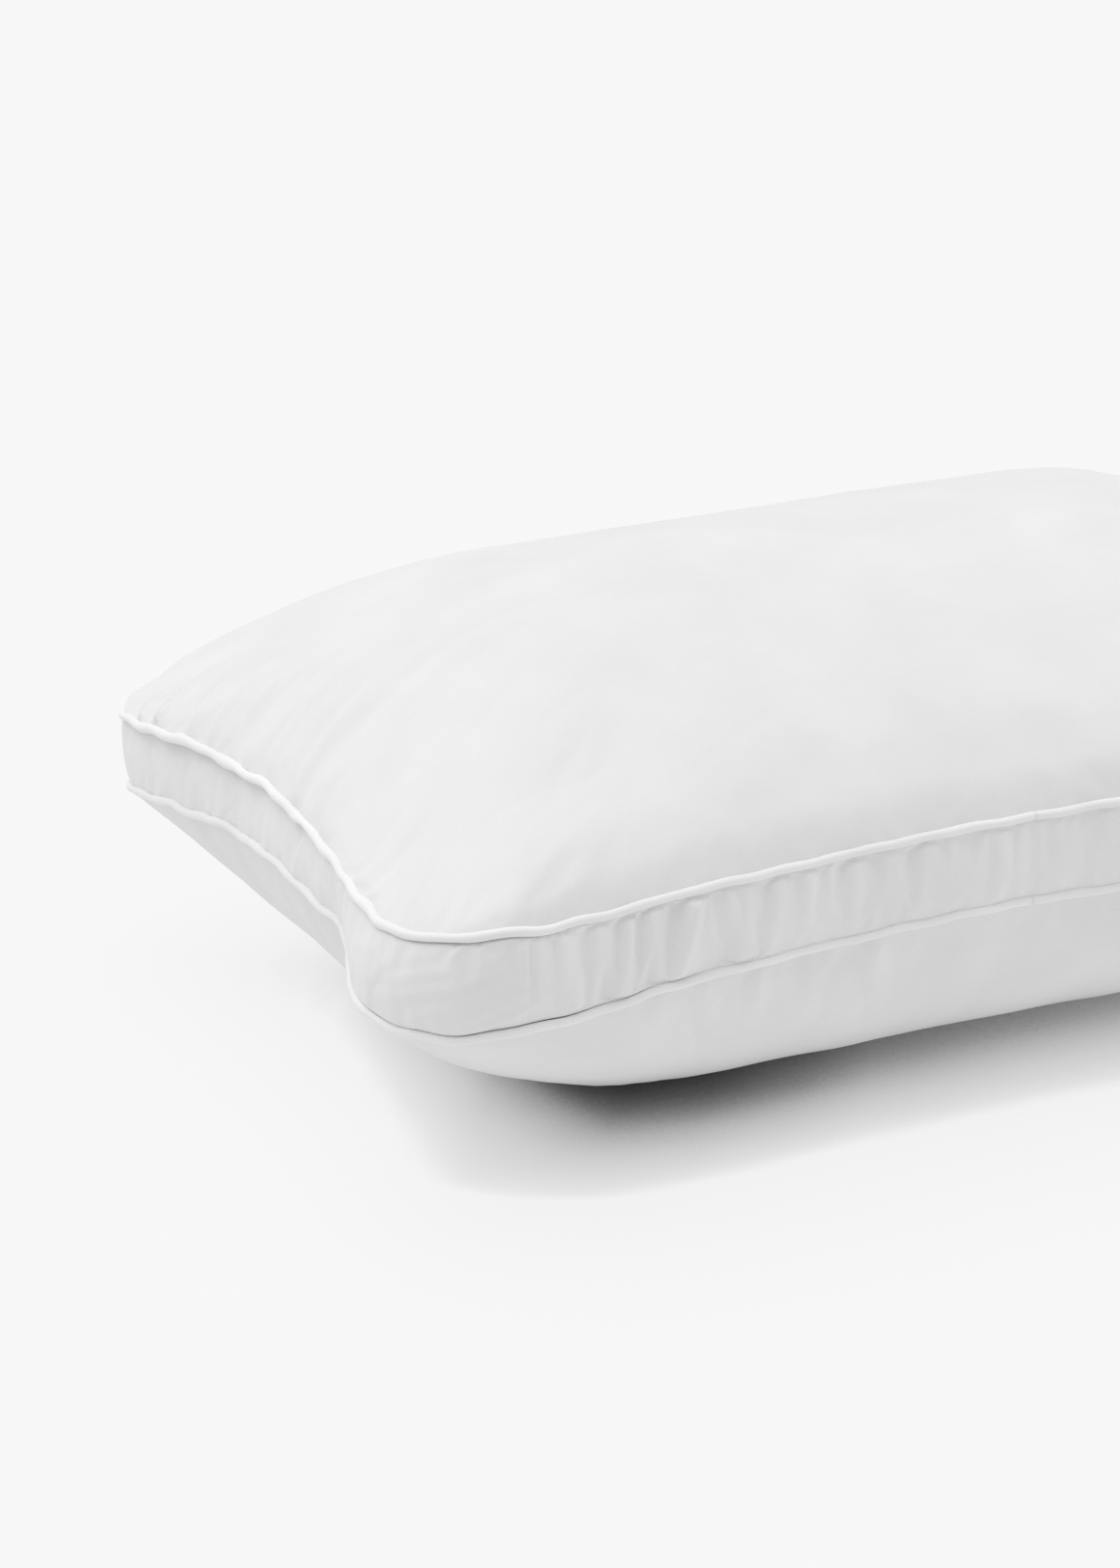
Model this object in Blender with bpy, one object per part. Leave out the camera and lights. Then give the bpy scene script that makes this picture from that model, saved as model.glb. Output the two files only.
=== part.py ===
"""Gusseted bed pillow: a plump fibre fill in a sewn cotton casing.

The casing is a top panel and a bottom panel joined by a gusset band in two
strips, with a corded piping sewn into each of the two seams.  Metres, +Z up,
+X along the long side, front at -Y.  The origin is under the middle of the
pillow, on the surface that it lies on.
"""
import math

import bmesh
import bpy
import numpy as np

# ---- outline of the seams, seen from above ------------------------------
SEAM_LENGTH = 0.680          # along X, seam to seam, before the sides draw in
SEAM_DEPTH = 0.452           # along Y, seam to seam
CORNER_RADIUS = 0.058
SIDE_DRAW_IN = 0.021         # how far a long side pulls in between its corners
END_DRAW_IN = 0.020          # the same for a short end
SPINE_INSET = 0.203          # the crown's ridge stops this far from each end

# ---- heights above the surface the pillow lies on -----------------------
CROWN_HEIGHT = 0.252
TOP_SEAM_FRONT = 0.172
TOP_SEAM_BACK = 0.161
TOP_SEAM_END = 0.159
TOP_SEAM_FRONT_CORNER = 0.161
TOP_SEAM_BACK_CORNER = 0.131
GUSSET_FRONT = 0.046         # upright distance between the two seams
GUSSET_BACK = 0.046
GUSSET_END = 0.037
GUSSET_FRONT_CORNER = 0.058
GUSSET_BACK_CORNER = 0.043
FLOOR_PRESS = 0.012          # how much belly the floor flattens away

# ---- swell of the panels ------------------------------------------------
TOP_FULLNESS = 1.90
TOP_SIDE_SWELL = 0.83
TOP_CORNER_SWELL = 1.10
BOTTOM_FULLNESS = 1.85
BOTTOM_SIDE_SWELL = 0.70
BOTTOM_CORNER_SWELL = 1.38
SEAM_ROLL = 0.005            # height of the cloth's turn beside a seam
SEAM_ROLL_SPAN = 0.0028
GUSSET_BULGE = 0.005
SIDE_BLEND_POWER = 2         # how soon a side's value gives way to a corner's
END_BLEND_POWER = 4          # the same for a short end

# ---- cloth, piping and thread -------------------------------------------
CLOTH = 0.0008               # panel and gusset cloth
TAPE = 0.0006                # bias tape of the piping
CORD_RADIUS = 0.0016
THREAD_RADIUS = 0.00035
LABEL = 0.0005
HEM = 0.009                  # seam allowance turned inwards
GAP = 0.0004                 # clearance between touching pieces
FILL_GAP = 0.0016            # from a panel's outer face down to the fill
FILL_SIDE_GAP = 0.0020       # the same, measured sideways
FILL_HEM_GAP = 0.002         # clearance between the fill and the hems
STITCH_INSET = 0.0035        # seam thread, in from the seam line
LABEL_START = 0.20           # the label's ends, as shares of one step of the band
LABEL_END = 0.80
JOIN_START = 0.15            # ends of an upright join thread, top of the band 0
JOIN_END = 0.85
CLOSING_LENGTH = 0.220       # opening closed last, in the back of the top seam
CLOSING_LEVEL = 0.15         # its stitches' place down the band, top of the band 0

# ---- looks: red, green and blue shares, then roughness ------------------
PANEL_LOOK = (0.86, 0.86, 0.85, 0.85)
GUSSET_LOOK = (0.80, 0.80, 0.79, 0.85)
TAPE_LOOK = (0.90, 0.90, 0.89, 0.80)
CORD_LOOK = (0.85, 0.84, 0.80, 0.70)
THREAD_LOOK = (0.90, 0.90, 0.90, 0.70)
FILL_LOOK = (0.92, 0.92, 0.92, 0.95)
LABEL_LOOK = (0.88, 0.88, 0.88, 0.60)

# ---- fineness of the faceted solids -------------------------------------
END_STEPS = 3
CORNER_STEPS = 6
SIDE_STEPS = 6
CORD_SIDES = 6
THREAD_SIDES = 4
PIPING_STEPS = 7
TOP_ROWS = (0.94, 0.85, 0.70, 0.50, 0.28, 0.0)
BOTTOM_ROWS = (0.94, 0.85, 0.72, 0.58, 0.43, 0.28, 0.0)
BAND_ROWS = (0.0, 0.25, 0.5, 0.75, 1.0)
WELD = 1e-6                  # points closer than this become one
SHARP_ANGLE = math.radians(50)

# ---- worked out from the sizes above ------------------------------------
HALF_LENGTH = SEAM_LENGTH / 2
HALF_DEPTH = SEAM_DEPTH / 2
TAPE_LAYER = GAP / 2 + TAPE                      # outer face of a tape flange
HEM_FACE = TAPE_LAYER + GAP                      # outer face of a hem
COVER_FLAT = CORD_RADIUS + GAP + TAPE            # outer radius across the facets
COVER_RADIUS = COVER_FLAT / math.cos(math.pi / PIPING_STEPS)
CORD_CENTRE = math.sqrt(COVER_RADIUS ** 2 - TAPE_LAYER ** 2)
FOLD = COVER_RADIUS + GAP - CORD_CENTRE          # folds stand off the piping
STITCH_LIFT = HEM_FACE + CLOTH + GAP + THREAD_RADIUS


class Seam:
    """Stations round the seam line: place, outward direction and heights."""

    def __init__(self, flat, place, out, top, bottom):
        self.flat = flat
        self.place = place
        self.out = out
        self.top = top
        self.bottom = bottom

    def blend(self, first, second, share):
        """Return one station part of the way from one to the next."""
        def mix(values):
            return values[first] * (1 - share) + values[second] * share
        return [mix(v) for v in (self.flat, self.place, self.out, self.top, self.bottom)]

    def strip(self, start, stop, trim):
        """Return the stations from start to stop, each end cut short by trim."""
        count = len(self.top)
        order = [i % count for i in range(start, stop + 1)]
        rows = [self.blend(i, i, 0.0) for i in order]
        for end, (first, second) in ((0, order[:2]), (-1, order[:-3:-1])):
            step = np.linalg.norm(self.place[second] - self.place[first])
            rows[end] = self.blend(first, second, trim / step)
        return Seam(*(np.array(column) for column in zip(*rows)))


def rounded_quarter():
    """Return the points of a quarter of the flat outline, from +X to +Y."""
    inner_x = HALF_LENGTH - CORNER_RADIUS
    inner_y = HALF_DEPTH - CORNER_RADIUS
    points = [(HALF_LENGTH, inner_y * i / END_STEPS) for i in range(END_STEPS)]
    for i in range(CORNER_STEPS):
        turn = math.pi / 2 * i / CORNER_STEPS
        points.append((inner_x + CORNER_RADIUS * math.cos(turn),
                       inner_y + CORNER_RADIUS * math.sin(turn)))
    points += [(inner_x * (1 - i / SIDE_STEPS), HALF_DEPTH) for i in range(SIDE_STEPS)]
    return points


def flat_outline():
    """Return the whole flat outline, anticlockwise, mirrored about both axes."""
    quarter = rounded_quarter()
    left = [(-x, y) for x, y in quarter[1:]][::-1]
    upper = quarter + [(0.0, HALF_DEPTH)] + left + [(-HALF_LENGTH, 0.0)]
    lower = [(x, -y) for x, y in upper[1:-1]][::-1]
    return np.array(upper + lower)


def draw_in(flat):
    """Pull the sides in between the corners, as a filled casing does."""
    side = np.cos(math.pi / 2 * flat[:, 0] / HALF_LENGTH) ** 2
    end = np.cos(math.pi / 2 * flat[:, 1] / HALF_DEPTH) ** 2
    x = flat[:, 0] * (1 - END_DRAW_IN / HALF_LENGTH * end)
    y = flat[:, 1] * (1 - SIDE_DRAW_IN / HALF_DEPTH * side)
    return np.column_stack([x, y])


def along_seam(flat, front, back, end, front_corner, back_corner):
    """Blend one value for each side, end and corner round the outline."""
    is_end = np.abs(flat[:, 0] / HALF_LENGTH) ** END_BLEND_POWER
    is_side = np.abs(flat[:, 1] / HALF_DEPTH) ** SIDE_BLEND_POWER
    at_front = flat[:, 1] < 0
    side = np.where(at_front, front, back)
    corner = np.where(at_front, front_corner, back_corner)
    weights = (is_end * (1 - is_side), is_side * (1 - is_end), is_end * is_side)
    total = sum(weights)
    return (end * weights[0] + side * weights[1] + corner * weights[2]) / total


def make_seam():
    """Return the stations of the seam line, all the way round."""
    flat = flat_outline()
    place = draw_in(flat)
    step = np.roll(place, -1, axis=0) - np.roll(place, 1, axis=0)
    out = np.column_stack([step[:, 1], -step[:, 0]])
    out /= np.linalg.norm(out, axis=1)[:, None]
    top = along_seam(flat, TOP_SEAM_FRONT, TOP_SEAM_BACK, TOP_SEAM_END,
                     TOP_SEAM_FRONT_CORNER, TOP_SEAM_BACK_CORNER)
    band = along_seam(flat, GUSSET_FRONT, GUSSET_BACK, GUSSET_END,
                      GUSSET_FRONT_CORNER, GUSSET_BACK_CORNER)
    return Seam(flat, place, out, top, top - band)


def row(seam, out, height):
    """Return a row of points a distance out from the seam, at given heights."""
    across = seam.place + seam.out * np.reshape(out, (-1, 1))
    tall = np.broadcast_to(height, len(across))
    return np.column_stack([across, tall])


def panel_row(seam, share, side, sideways=0.0, upright=0.0):
    """Return one row of a panel; share is 1 at the seam and 0 on the ridge."""
    is_top = side > 0
    start = seam.top if is_top else seam.bottom
    target = CROWN_HEIGHT if is_top else -FLOOR_PRESS
    fullness = TOP_FULLNESS if is_top else BOTTOM_FULLNESS
    swells = ((TOP_SIDE_SWELL, TOP_CORNER_SWELL) if is_top
              else (BOTTOM_SIDE_SWELL, BOTTOM_CORNER_SWELL))
    swell = along_seam(seam.flat, swells[0], swells[0], swells[0], swells[1], swells[1])
    ridge = HALF_LENGTH - SPINE_INSET
    spine = np.column_stack([np.clip(seam.flat[:, 0], -ridge, ridge),
                             np.zeros(len(seam.top))])
    fold = seam.place - seam.out * FOLD
    reach = np.linalg.norm(fold - spine, axis=1)
    roll = SEAM_ROLL * np.minimum(1.0, (1 - share) * reach / SEAM_ROLL_SPAN)
    rise = np.abs(target - start) - HEM_FACE - SEAM_ROLL
    height = start + side * (HEM_FACE + roll + rise * (1 - share ** fullness) ** swell)
    height = np.maximum(height, 0.0) - side * upright
    inner = np.maximum(share - sideways / reach, 0.0)[:, None]
    return np.column_stack([spine + (fold - spine) * inner, height])


def band_out(position):
    """Return how far the gusset's outer face stands out, from top 0 to bottom 1."""
    faces = [GUSSET_BULGE * math.sin(math.pi * w) - FOLD for w in BAND_ROWS]
    return float(np.interp(position, BAND_ROWS, faces))


def band_height(seam, position):
    """Return the heights of a line along the gusset, from top 0 to bottom 1."""
    high = seam.top - HEM_FACE
    low = seam.bottom + HEM_FACE
    return high + (low - high) * position


def sheet(name, rows, closed=True):
    """Build a sheet from rows of points, with faces between them.

    Stations run anticlockwise seen from above.  Rows that run down the outside
    face outwards.  A row that lies on the ridge closes up into single points.
    """
    mesh = bmesh.new()
    grid = [[mesh.verts.new(point) for point in line] for line in rows]
    count = len(rows[0])
    for upper, lower in zip(grid, grid[1:]):
        for i in range(count if closed else count - 1):
            j = (i + 1) % count
            mesh.faces.new((upper[i], lower[i], lower[j], upper[j]))
    bmesh.ops.remove_doubles(mesh, verts=mesh.verts, dist=WELD)
    return finish(name, mesh)


def tube(name, lines, closed):
    """Build a solid tube from the lines that run along its sides."""
    mesh = bmesh.new()
    grid = [[mesh.verts.new(point) for point in line] for line in lines]
    count = len(lines[0])
    for one, other in zip(grid, grid[1:] + grid[:1]):
        for i in range(count if closed else count - 1):
            j = (i + 1) % count
            mesh.faces.new((one[i], other[i], other[j], one[j]))
    if not closed:
        mesh.faces.new([line[0] for line in grid])
        mesh.faces.new([line[-1] for line in grid])
    bmesh.ops.recalc_face_normals(mesh, faces=mesh.faces)
    return finish(name, mesh)


def finish(name, mesh):
    """Turn a bmesh into a smooth-shaded object in the scene."""
    data = bpy.data.meshes.new(name)
    mesh.to_mesh(data)
    mesh.free()
    data.shade_smooth()
    data.set_sharp_from_angle(angle=SHARP_ANGLE)
    piece = bpy.data.objects.new(name, data)
    bpy.context.scene.collection.objects.link(piece)
    return piece


def thicken(piece, thickness):
    """Give a sheet its thickness, inwards from its outer face."""
    wall = piece.modifiers.new("cloth thickness", "SOLIDIFY")
    wall.thickness = thickness
    wall.offset = -1
    wall.use_even_offset = True
    wall.use_rim = True


def colour(piece, name, look):
    """Give a piece its own material; look is its colour and then its roughness."""
    material = bpy.data.materials.new(name)
    material.use_nodes = True
    shader = material.node_tree.nodes["Principled BSDF"]
    shader.inputs["Base Color"].default_value = (*look[:3], 1.0)
    shader.inputs["Roughness"].default_value = look[3]
    shader.inputs["Metallic"].default_value = 0.0
    piece.data.materials.append(material)


def make_panel(seam, name, side):
    """Make the top (side 1) or bottom (side -1) panel with its turned-in hem."""
    start = (seam.top if side > 0 else seam.bottom) + side * HEM_FACE
    rows = [row(seam, -FOLD - HEM, start), row(seam, -FOLD, start)]
    roll_share = 1 - SEAM_ROLL_SPAN / (HALF_DEPTH - FOLD)
    shares = (roll_share,) + (TOP_ROWS if side > 0 else BOTTOM_ROWS)
    rows += [panel_row(seam, share, side) for share in shares]
    panel = sheet(name, rows[::-side])
    thicken(panel, CLOTH)
    colour(panel, name + " cotton", PANEL_LOOK)


def make_gusset(seam, name, start, stop):
    """Make one strip of the gusset band, with a hem along each long edge."""
    strip = seam.strip(start, stop, GAP)
    rows = [row(strip, -FOLD - HEM, band_height(strip, 0.0))]
    rows += [row(strip, band_out(w), band_height(strip, w)) for w in BAND_ROWS]
    rows.append(row(strip, -FOLD - HEM, band_height(strip, 1.0)))
    band = sheet(name, rows, closed=False)
    thicken(band, CLOTH)
    colour(band, name + " cotton", GUSSET_LOOK)


def make_piping_cover(seam, name, heights):
    """Make the bias tape that wraps a cord, open between its two flanges."""
    opening = math.asin(TAPE_LAYER / COVER_RADIUS)
    rows = [row(seam, -HEM, heights + TAPE_LAYER)]
    for i in range(PIPING_STEPS + 1):
        turn = math.pi - opening - (2 * math.pi - 2 * opening) * i / PIPING_STEPS
        rows.append(row(seam, CORD_CENTRE + COVER_RADIUS * math.cos(turn),
                        heights + COVER_RADIUS * math.sin(turn)))
    rows.append(row(seam, -HEM, heights - TAPE_LAYER))
    cover = sheet(name, rows)
    thicken(cover, TAPE)
    colour(cover, name + " bias tape", TAPE_LOOK)


def make_line(seam, name, out, heights, radius, sides, look, closed=True):
    """Make a cord or thread that follows the seam line."""
    lines = []
    for i in range(sides):
        turn = 2 * math.pi * i / sides
        lines.append(row(seam, out + radius * math.cos(turn),
                         heights + radius * math.sin(turn)))
    line = tube(name, lines, closed)
    colour(line, name + " yarn", look)


def make_join_thread(seam, name, index):
    """Make the upright thread that joins two gusset strips, behind the cloth."""
    behind = CLOTH + GAP + THREAD_RADIUS
    along = np.array([-seam.out[index][1], seam.out[index][0]])
    lines = []
    for i in range(THREAD_SIDES):
        turn = 2 * math.pi * i / THREAD_SIDES
        line = []
        for w in (JOIN_START, *BAND_ROWS[1:-1], JOIN_END):
            middle = seam.place[index] + seam.out[index] * (band_out(w) - behind)
            ring = (seam.out[index] * math.cos(turn) + along * math.sin(turn))
            line.append((*(middle + ring * THREAD_RADIUS), band_height(seam, w)[index]))
        lines.append(line)
    thread = tube(name, lines, closed=False)
    colour(thread, name + " yarn", THREAD_LOOK)


def make_fill(seam):
    """Make the fibre fill, just inside the casing and clear of its hems."""
    hem_line = -FOLD - HEM - FILL_HEM_GAP
    deep = CLOTH + 2 * GAP + 2 * THREAD_RADIUS + FILL_HEM_GAP
    rows = [panel_row(seam, share, 1, FILL_SIDE_GAP, FILL_GAP)
            for share in reversed(TOP_ROWS)]
    clear = HEM_FACE + CLOTH + FILL_HEM_GAP
    rows.append(row(seam, hem_line, seam.top - clear))
    rows += [row(seam, band_out(w) - deep, band_height(seam, w)) for w in BAND_ROWS[1:-1]]
    rows.append(row(seam, hem_line, seam.bottom + clear))
    rows += [panel_row(seam, share, -1, FILL_SIDE_GAP, FILL_GAP) for share in BOTTOM_ROWS]
    fill = sheet("fibre_fill", rows)
    colour(fill, "polyester fibre", FILL_LOOK)


def make_label(seam, index):
    """Make the blank label sewn flat on the back of the gusset."""
    first = seam.blend(index, index + 1, LABEL_START)
    second = seam.blend(index, index + 1, LABEL_END)
    strip = Seam(*(np.array(pair) for pair in zip(first, second)))
    rows = [row(strip, band_out(w) + GAP + LABEL, band_height(strip, w))
            for w in BAND_ROWS[1:-1]]
    label = sheet("care_label", rows, closed=False)
    thicken(label, LABEL)
    colour(label, "label tape", LABEL_LOOK)


def make_closing_thread(seam, index):
    """Make the thread that closed the casing last, along the back."""
    step = abs(seam.place[index + 1][0] - seam.place[index][0])
    half = int(round(CLOSING_LENGTH / 2 / step))
    strip = seam.strip(index - half, index + half, GAP)
    make_line(strip, "closing_thread", band_out(CLOSING_LEVEL) + GAP + 2 * THREAD_RADIUS,
              band_height(strip, CLOSING_LEVEL), THREAD_RADIUS, THREAD_SIDES,
              THREAD_LOOK, closed=False)


def main():
    """Clear the scene and make the pillow."""
    for old in list(bpy.data.objects):
        bpy.data.objects.remove(old, do_unlink=True)
    seam = make_seam()
    count = len(seam.top)
    quarter = count // 4
    right_join = END_STEPS + CORNER_STEPS
    left_join = 2 * quarter - right_join
    make_panel(seam, "top_panel", 1)
    make_panel(seam, "bottom_panel", -1)
    make_gusset(seam, "gusset_front", left_join, count + right_join)
    make_gusset(seam, "gusset_back", right_join, left_join)
    for level, heights, side in (("top", seam.top, 1), ("bottom", seam.bottom, -1)):
        make_piping_cover(seam, level + "_piping_cover", heights)
        make_line(seam, level + "_piping_cord", CORD_CENTRE, heights, CORD_RADIUS,
                  CORD_SIDES, CORD_LOOK)
        make_line(seam, level + "_seam_thread", -STITCH_INSET, heights + side * STITCH_LIFT,
                  THREAD_RADIUS, THREAD_SIDES, THREAD_LOOK)
    make_join_thread(seam, "gusset_join_thread_left", left_join)
    make_join_thread(seam, "gusset_join_thread_right", right_join)
    make_fill(seam)
    make_label(seam, right_join + 1)
    make_closing_thread(seam, quarter)


main()
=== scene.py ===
"""A gusseted bed pillow: two percale panels, a gusset strip, piped seams and a fibre fill."""
import logging
import math
from dataclasses import dataclass, field
from enum import Enum
from typing import Sequence

import bmesh
import bpy
import numpy as np
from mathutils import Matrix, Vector
from mathutils.bvhtree import BVHTree


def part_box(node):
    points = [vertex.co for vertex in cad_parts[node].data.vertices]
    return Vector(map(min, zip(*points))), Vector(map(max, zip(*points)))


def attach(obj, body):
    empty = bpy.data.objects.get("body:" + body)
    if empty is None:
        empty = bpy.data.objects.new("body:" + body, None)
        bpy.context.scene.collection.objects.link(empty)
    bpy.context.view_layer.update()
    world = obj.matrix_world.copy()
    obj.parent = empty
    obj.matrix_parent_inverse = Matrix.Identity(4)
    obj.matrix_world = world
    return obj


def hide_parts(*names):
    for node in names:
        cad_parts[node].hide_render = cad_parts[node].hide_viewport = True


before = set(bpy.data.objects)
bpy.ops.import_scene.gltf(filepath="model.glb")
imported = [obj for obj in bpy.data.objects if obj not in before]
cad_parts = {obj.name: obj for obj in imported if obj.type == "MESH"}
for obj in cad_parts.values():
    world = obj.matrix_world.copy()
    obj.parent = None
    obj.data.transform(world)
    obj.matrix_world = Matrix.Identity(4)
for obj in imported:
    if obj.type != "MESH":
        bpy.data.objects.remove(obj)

LOG = logging.getLogger("pillow")
MM = 0.001
UP = np.array([0, 0, 1.0])
BODY = "root"
WEAVE = "weave"
FOLD_ANGLE = 50.0  # degrees: cloth that turns more than this shows as a fold, not as a curve


class Side(Enum):
    """The two faces of the pillow; the value is the way the face looks along Z."""

    TOP = 1
    BOTTOM = -1

    @property
    def label(self) -> str:
        """The face's name as it starts a node's name."""
        return self.name.lower()


class Hold(Enum):
    """How a sheet of cloth is held."""

    STRETCHED = "stretched"
    FOLDED = "folded"


# ---------------------------------------------------------------------------- small tools


def linear(hex_colour: str) -> tuple[float, float, float, float]:
    """Turns an sRGB hex colour into linear RGBA.

    Args:
        hex_colour: six hex digits, such as "F2F1EF".

    Returns:
        The linear colour with alpha 1.
    """
    parts = [int(hex_colour[i:i + 2], 16) / 255 for i in (0, 2, 4)]
    low = [c / 12.92 if c <= 0.04045 else ((c + 0.055) / 1.055) ** 2.4 for c in parts]
    return (low[0], low[1], low[2], 1.0)


def add_node(tree: bpy.types.NodeTree, kind: str, settings: dict | None = None,
             values: dict | None = None, links: dict | None = None,
             stops: Sequence[tuple[float, Sequence[float]]] = ()) -> bpy.types.Node:
    """Adds one node to a tree.

    Args:
        tree: the node tree.
        kind: the node's type name.
        settings: properties of the node itself.
        values: socket name or index to the constant it holds.
        links: socket name or index to the output socket that feeds it.
        stops: on a colour ramp, each stop's place and linear colour.

    Returns:
        The new node.
    """
    node = tree.nodes.new(kind)
    for name, value in (settings or {}).items():
        setattr(node, name, value)
    for socket, value in (values or {}).items():
        node.inputs[socket].default_value = value
    for socket, source in (links or {}).items():
        tree.links.new(source, node.inputs[socket])
    if stops:
        marks = node.color_ramp.elements
        for place, _ in stops[1:-1]:
            marks.new(place)
        for mark, (place, colour) in zip(marks, stops):
            mark.position = place
            mark.color = colour
    return node


def smooth(x: np.ndarray, low: float, high: float) -> np.ndarray:
    """An S-shaped step from 0 at low to 1 at high."""
    t = np.clip((x - low) / (high - low), 0, 1)
    return t * t * (3 - 2 * t)


def hump(x: np.ndarray, span: float) -> np.ndarray:
    """A bell of height 1 at 0, with the given half width."""
    return np.exp(-(x / span) ** 2)


class Grain:
    """Smooth seeded noise along a closed length: a short sum of whole waves."""

    def __init__(self, seed: int, length: float, longest: float, shortest: float, waves: int = 24):
        """Draws the waves.

        Args:
            seed: the random seed.
            length: the closed length that the noise repeats after.
            longest: the longest wave, in metres.
            shortest: the shortest wave, in metres.
            waves: how many waves are added up.
        """
        draw = np.random.default_rng(seed)
        self.length = length
        self.count = np.round(length / np.geomspace(longest, shortest, waves))
        self.phase = draw.uniform(0, 2 * math.pi, waves)
        self.height = draw.uniform(0.5, 1.0, waves) / math.sqrt(waves / 2)

    def __call__(self, s: np.ndarray) -> np.ndarray:
        """The noise at each length along the loop, about -1 to 1."""
        angle = 2 * math.pi * np.multiply.outer(s / self.length, self.count) + self.phase
        return (np.sin(angle) * self.height).sum(-1)


def new_object(name: str, data: bpy.types.ID) -> bpy.types.Object:
    """Makes an object at the origin and links it.

    Args:
        name: the object's name.
        data: its mesh, curve, light or camera.

    Returns:
        The linked object.
    """
    made = bpy.data.objects.new(name, data)
    bpy.context.scene.collection.objects.link(made)
    return made


def mesh_object(name: str, points: np.ndarray, faces: Sequence[Sequence[int]]) -> bpy.types.Object:
    """Makes a smooth-shaded mesh object at the origin.

    Args:
        name: the object's name.
        points: one row of XYZ for each vertex.
        faces: vertex numbers of each face.

    Returns:
        The linked object.
    """
    mesh = bpy.data.meshes.new(name)
    mesh.from_pydata(points.tolist(), [], [tuple(face) for face in faces])
    mesh.update()
    mesh.shade_smooth()
    return new_object(name, mesh)


def rows_to_quads(rows: int, columns: int, closed: bool) -> list[tuple[int, ...]]:
    """Quads between rows of points that run side by side.

    Args:
        rows: the number of rows.
        columns: the number of points in a row.
        closed: whether each row is a loop.

    Returns:
        Four vertex numbers for each quad.
    """
    quads = []
    for start in range(0, (rows - 1) * columns, columns):
        for column in range(columns if closed else columns - 1):
            after = (column + 1) % columns
            quads.append((start + column, start + after,
                          start + columns + after, start + columns + column))
    return quads


def read_points(mesh: bpy.types.Mesh) -> np.ndarray:
    """The vertices of a mesh as rows of XYZ."""
    flat = np.empty(len(mesh.vertices) * 3, dtype=np.float32)
    mesh.vertices.foreach_get("co", flat)
    return flat.reshape(-1, 3).astype(float)


def write_points(mesh: bpy.types.Mesh, points: np.ndarray) -> None:
    """Moves the vertices of a mesh to rows of XYZ."""
    mesh.vertices.foreach_set("co", points.ravel())
    mesh.update()


def write_weave(mesh: bpy.types.Mesh, flat: np.ndarray) -> None:
    """Stores where each point lies on the uncut cloth, in metres, for the weave.

    Args:
        mesh: the cloth's mesh.
        flat: one row of XY on the flat cloth for each vertex.
    """
    level = np.concatenate([flat, np.zeros((len(flat), 1))], 1)
    layer = mesh.attributes.new(WEAVE, "FLOAT_VECTOR", "POINT")
    layer.data.foreach_set("vector", level.astype(np.float32).ravel())


def apply_modifiers(piece: bpy.types.Object) -> None:
    """Turns the evaluated piece into its plain mesh and removes its modifiers.

    Args:
        piece: a mesh or curve object.
    """
    graph = bpy.context.evaluated_depsgraph_get()
    graph.update()
    made = bpy.data.meshes.new_from_object(piece.evaluated_get(graph))
    old = piece.data
    piece.modifiers.clear()
    piece.data = made
    made.name = piece.name
    if old.users == 0:
        bpy.data.meshes.remove(old)


def thicken(piece: bpy.types.Object, thickness: float) -> None:
    """Gives a sheet its thickness on the inner side, and keeps its turned hems sharp.

    Args:
        piece: the sheet.
        thickness: how thick the cloth is.
    """
    wall = piece.modifiers.new("thickness", "SOLIDIFY")
    wall.thickness = thickness
    wall.offset = -1
    wall.use_rim = True
    apply_modifiers(piece)
    piece.data.set_sharp_from_angle(angle=math.radians(FOLD_ANGLE))


def dress(piece: bpy.types.Object, material: bpy.types.Material,
          replaced: Sequence[str]) -> None:
    """Gives a piece its finish, its body and the solids that it stands for.

    Args:
        piece: the finished piece.
        material: its finish.
        replaced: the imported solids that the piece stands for.
    """
    piece.data.materials.clear()
    piece.data.materials.append(material)
    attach(piece, BODY)
    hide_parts(*replaced)
    LOG.info("%s: %d faces", piece.name, len(piece.data.polygons))


class TreeMaker:
    """A node tree in the making."""

    def __init__(self, tree: bpy.types.NodeTree):
        """Keeps the tree that nodes are added to."""
        self.tree = tree

    def node(self, kind: str, settings: dict | None = None, values: dict | None = None,
             links: dict | None = None,
             stops: Sequence[tuple[float, Sequence[float]]] = ()) -> bpy.types.Node:
        """Adds a node to this tree, as add_node does."""
        return add_node(self.tree, kind, settings, values, links, stops)


# ------------------------------------------------------------------------------- finishes


class FinishTree(TreeMaker):
    """A node material in the making, round its Principled surface."""

    def __init__(self, name: str, surface: dict):
        """Starts the material.

        Args:
            name: the material's name.
            surface: the constants that the surface's sockets hold.
        """
        self.material = bpy.data.materials.new(name)
        self.material.use_nodes = True
        super().__init__(self.material.node_tree)
        self.surface = self.tree.nodes["Principled BSDF"]
        for socket, value in surface.items():
            self.surface.inputs[socket].default_value = value

    def close(self, feeds: dict) -> bpy.types.Material:
        """Feeds the surface's sockets.

        Args:
            feeds: the surface's socket names and the output sockets that feed them.

        Returns:
            The finished material.
        """
        for socket, source in feeds.items():
            self.tree.links.new(source, self.surface.inputs[socket])
        return self.material


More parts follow.
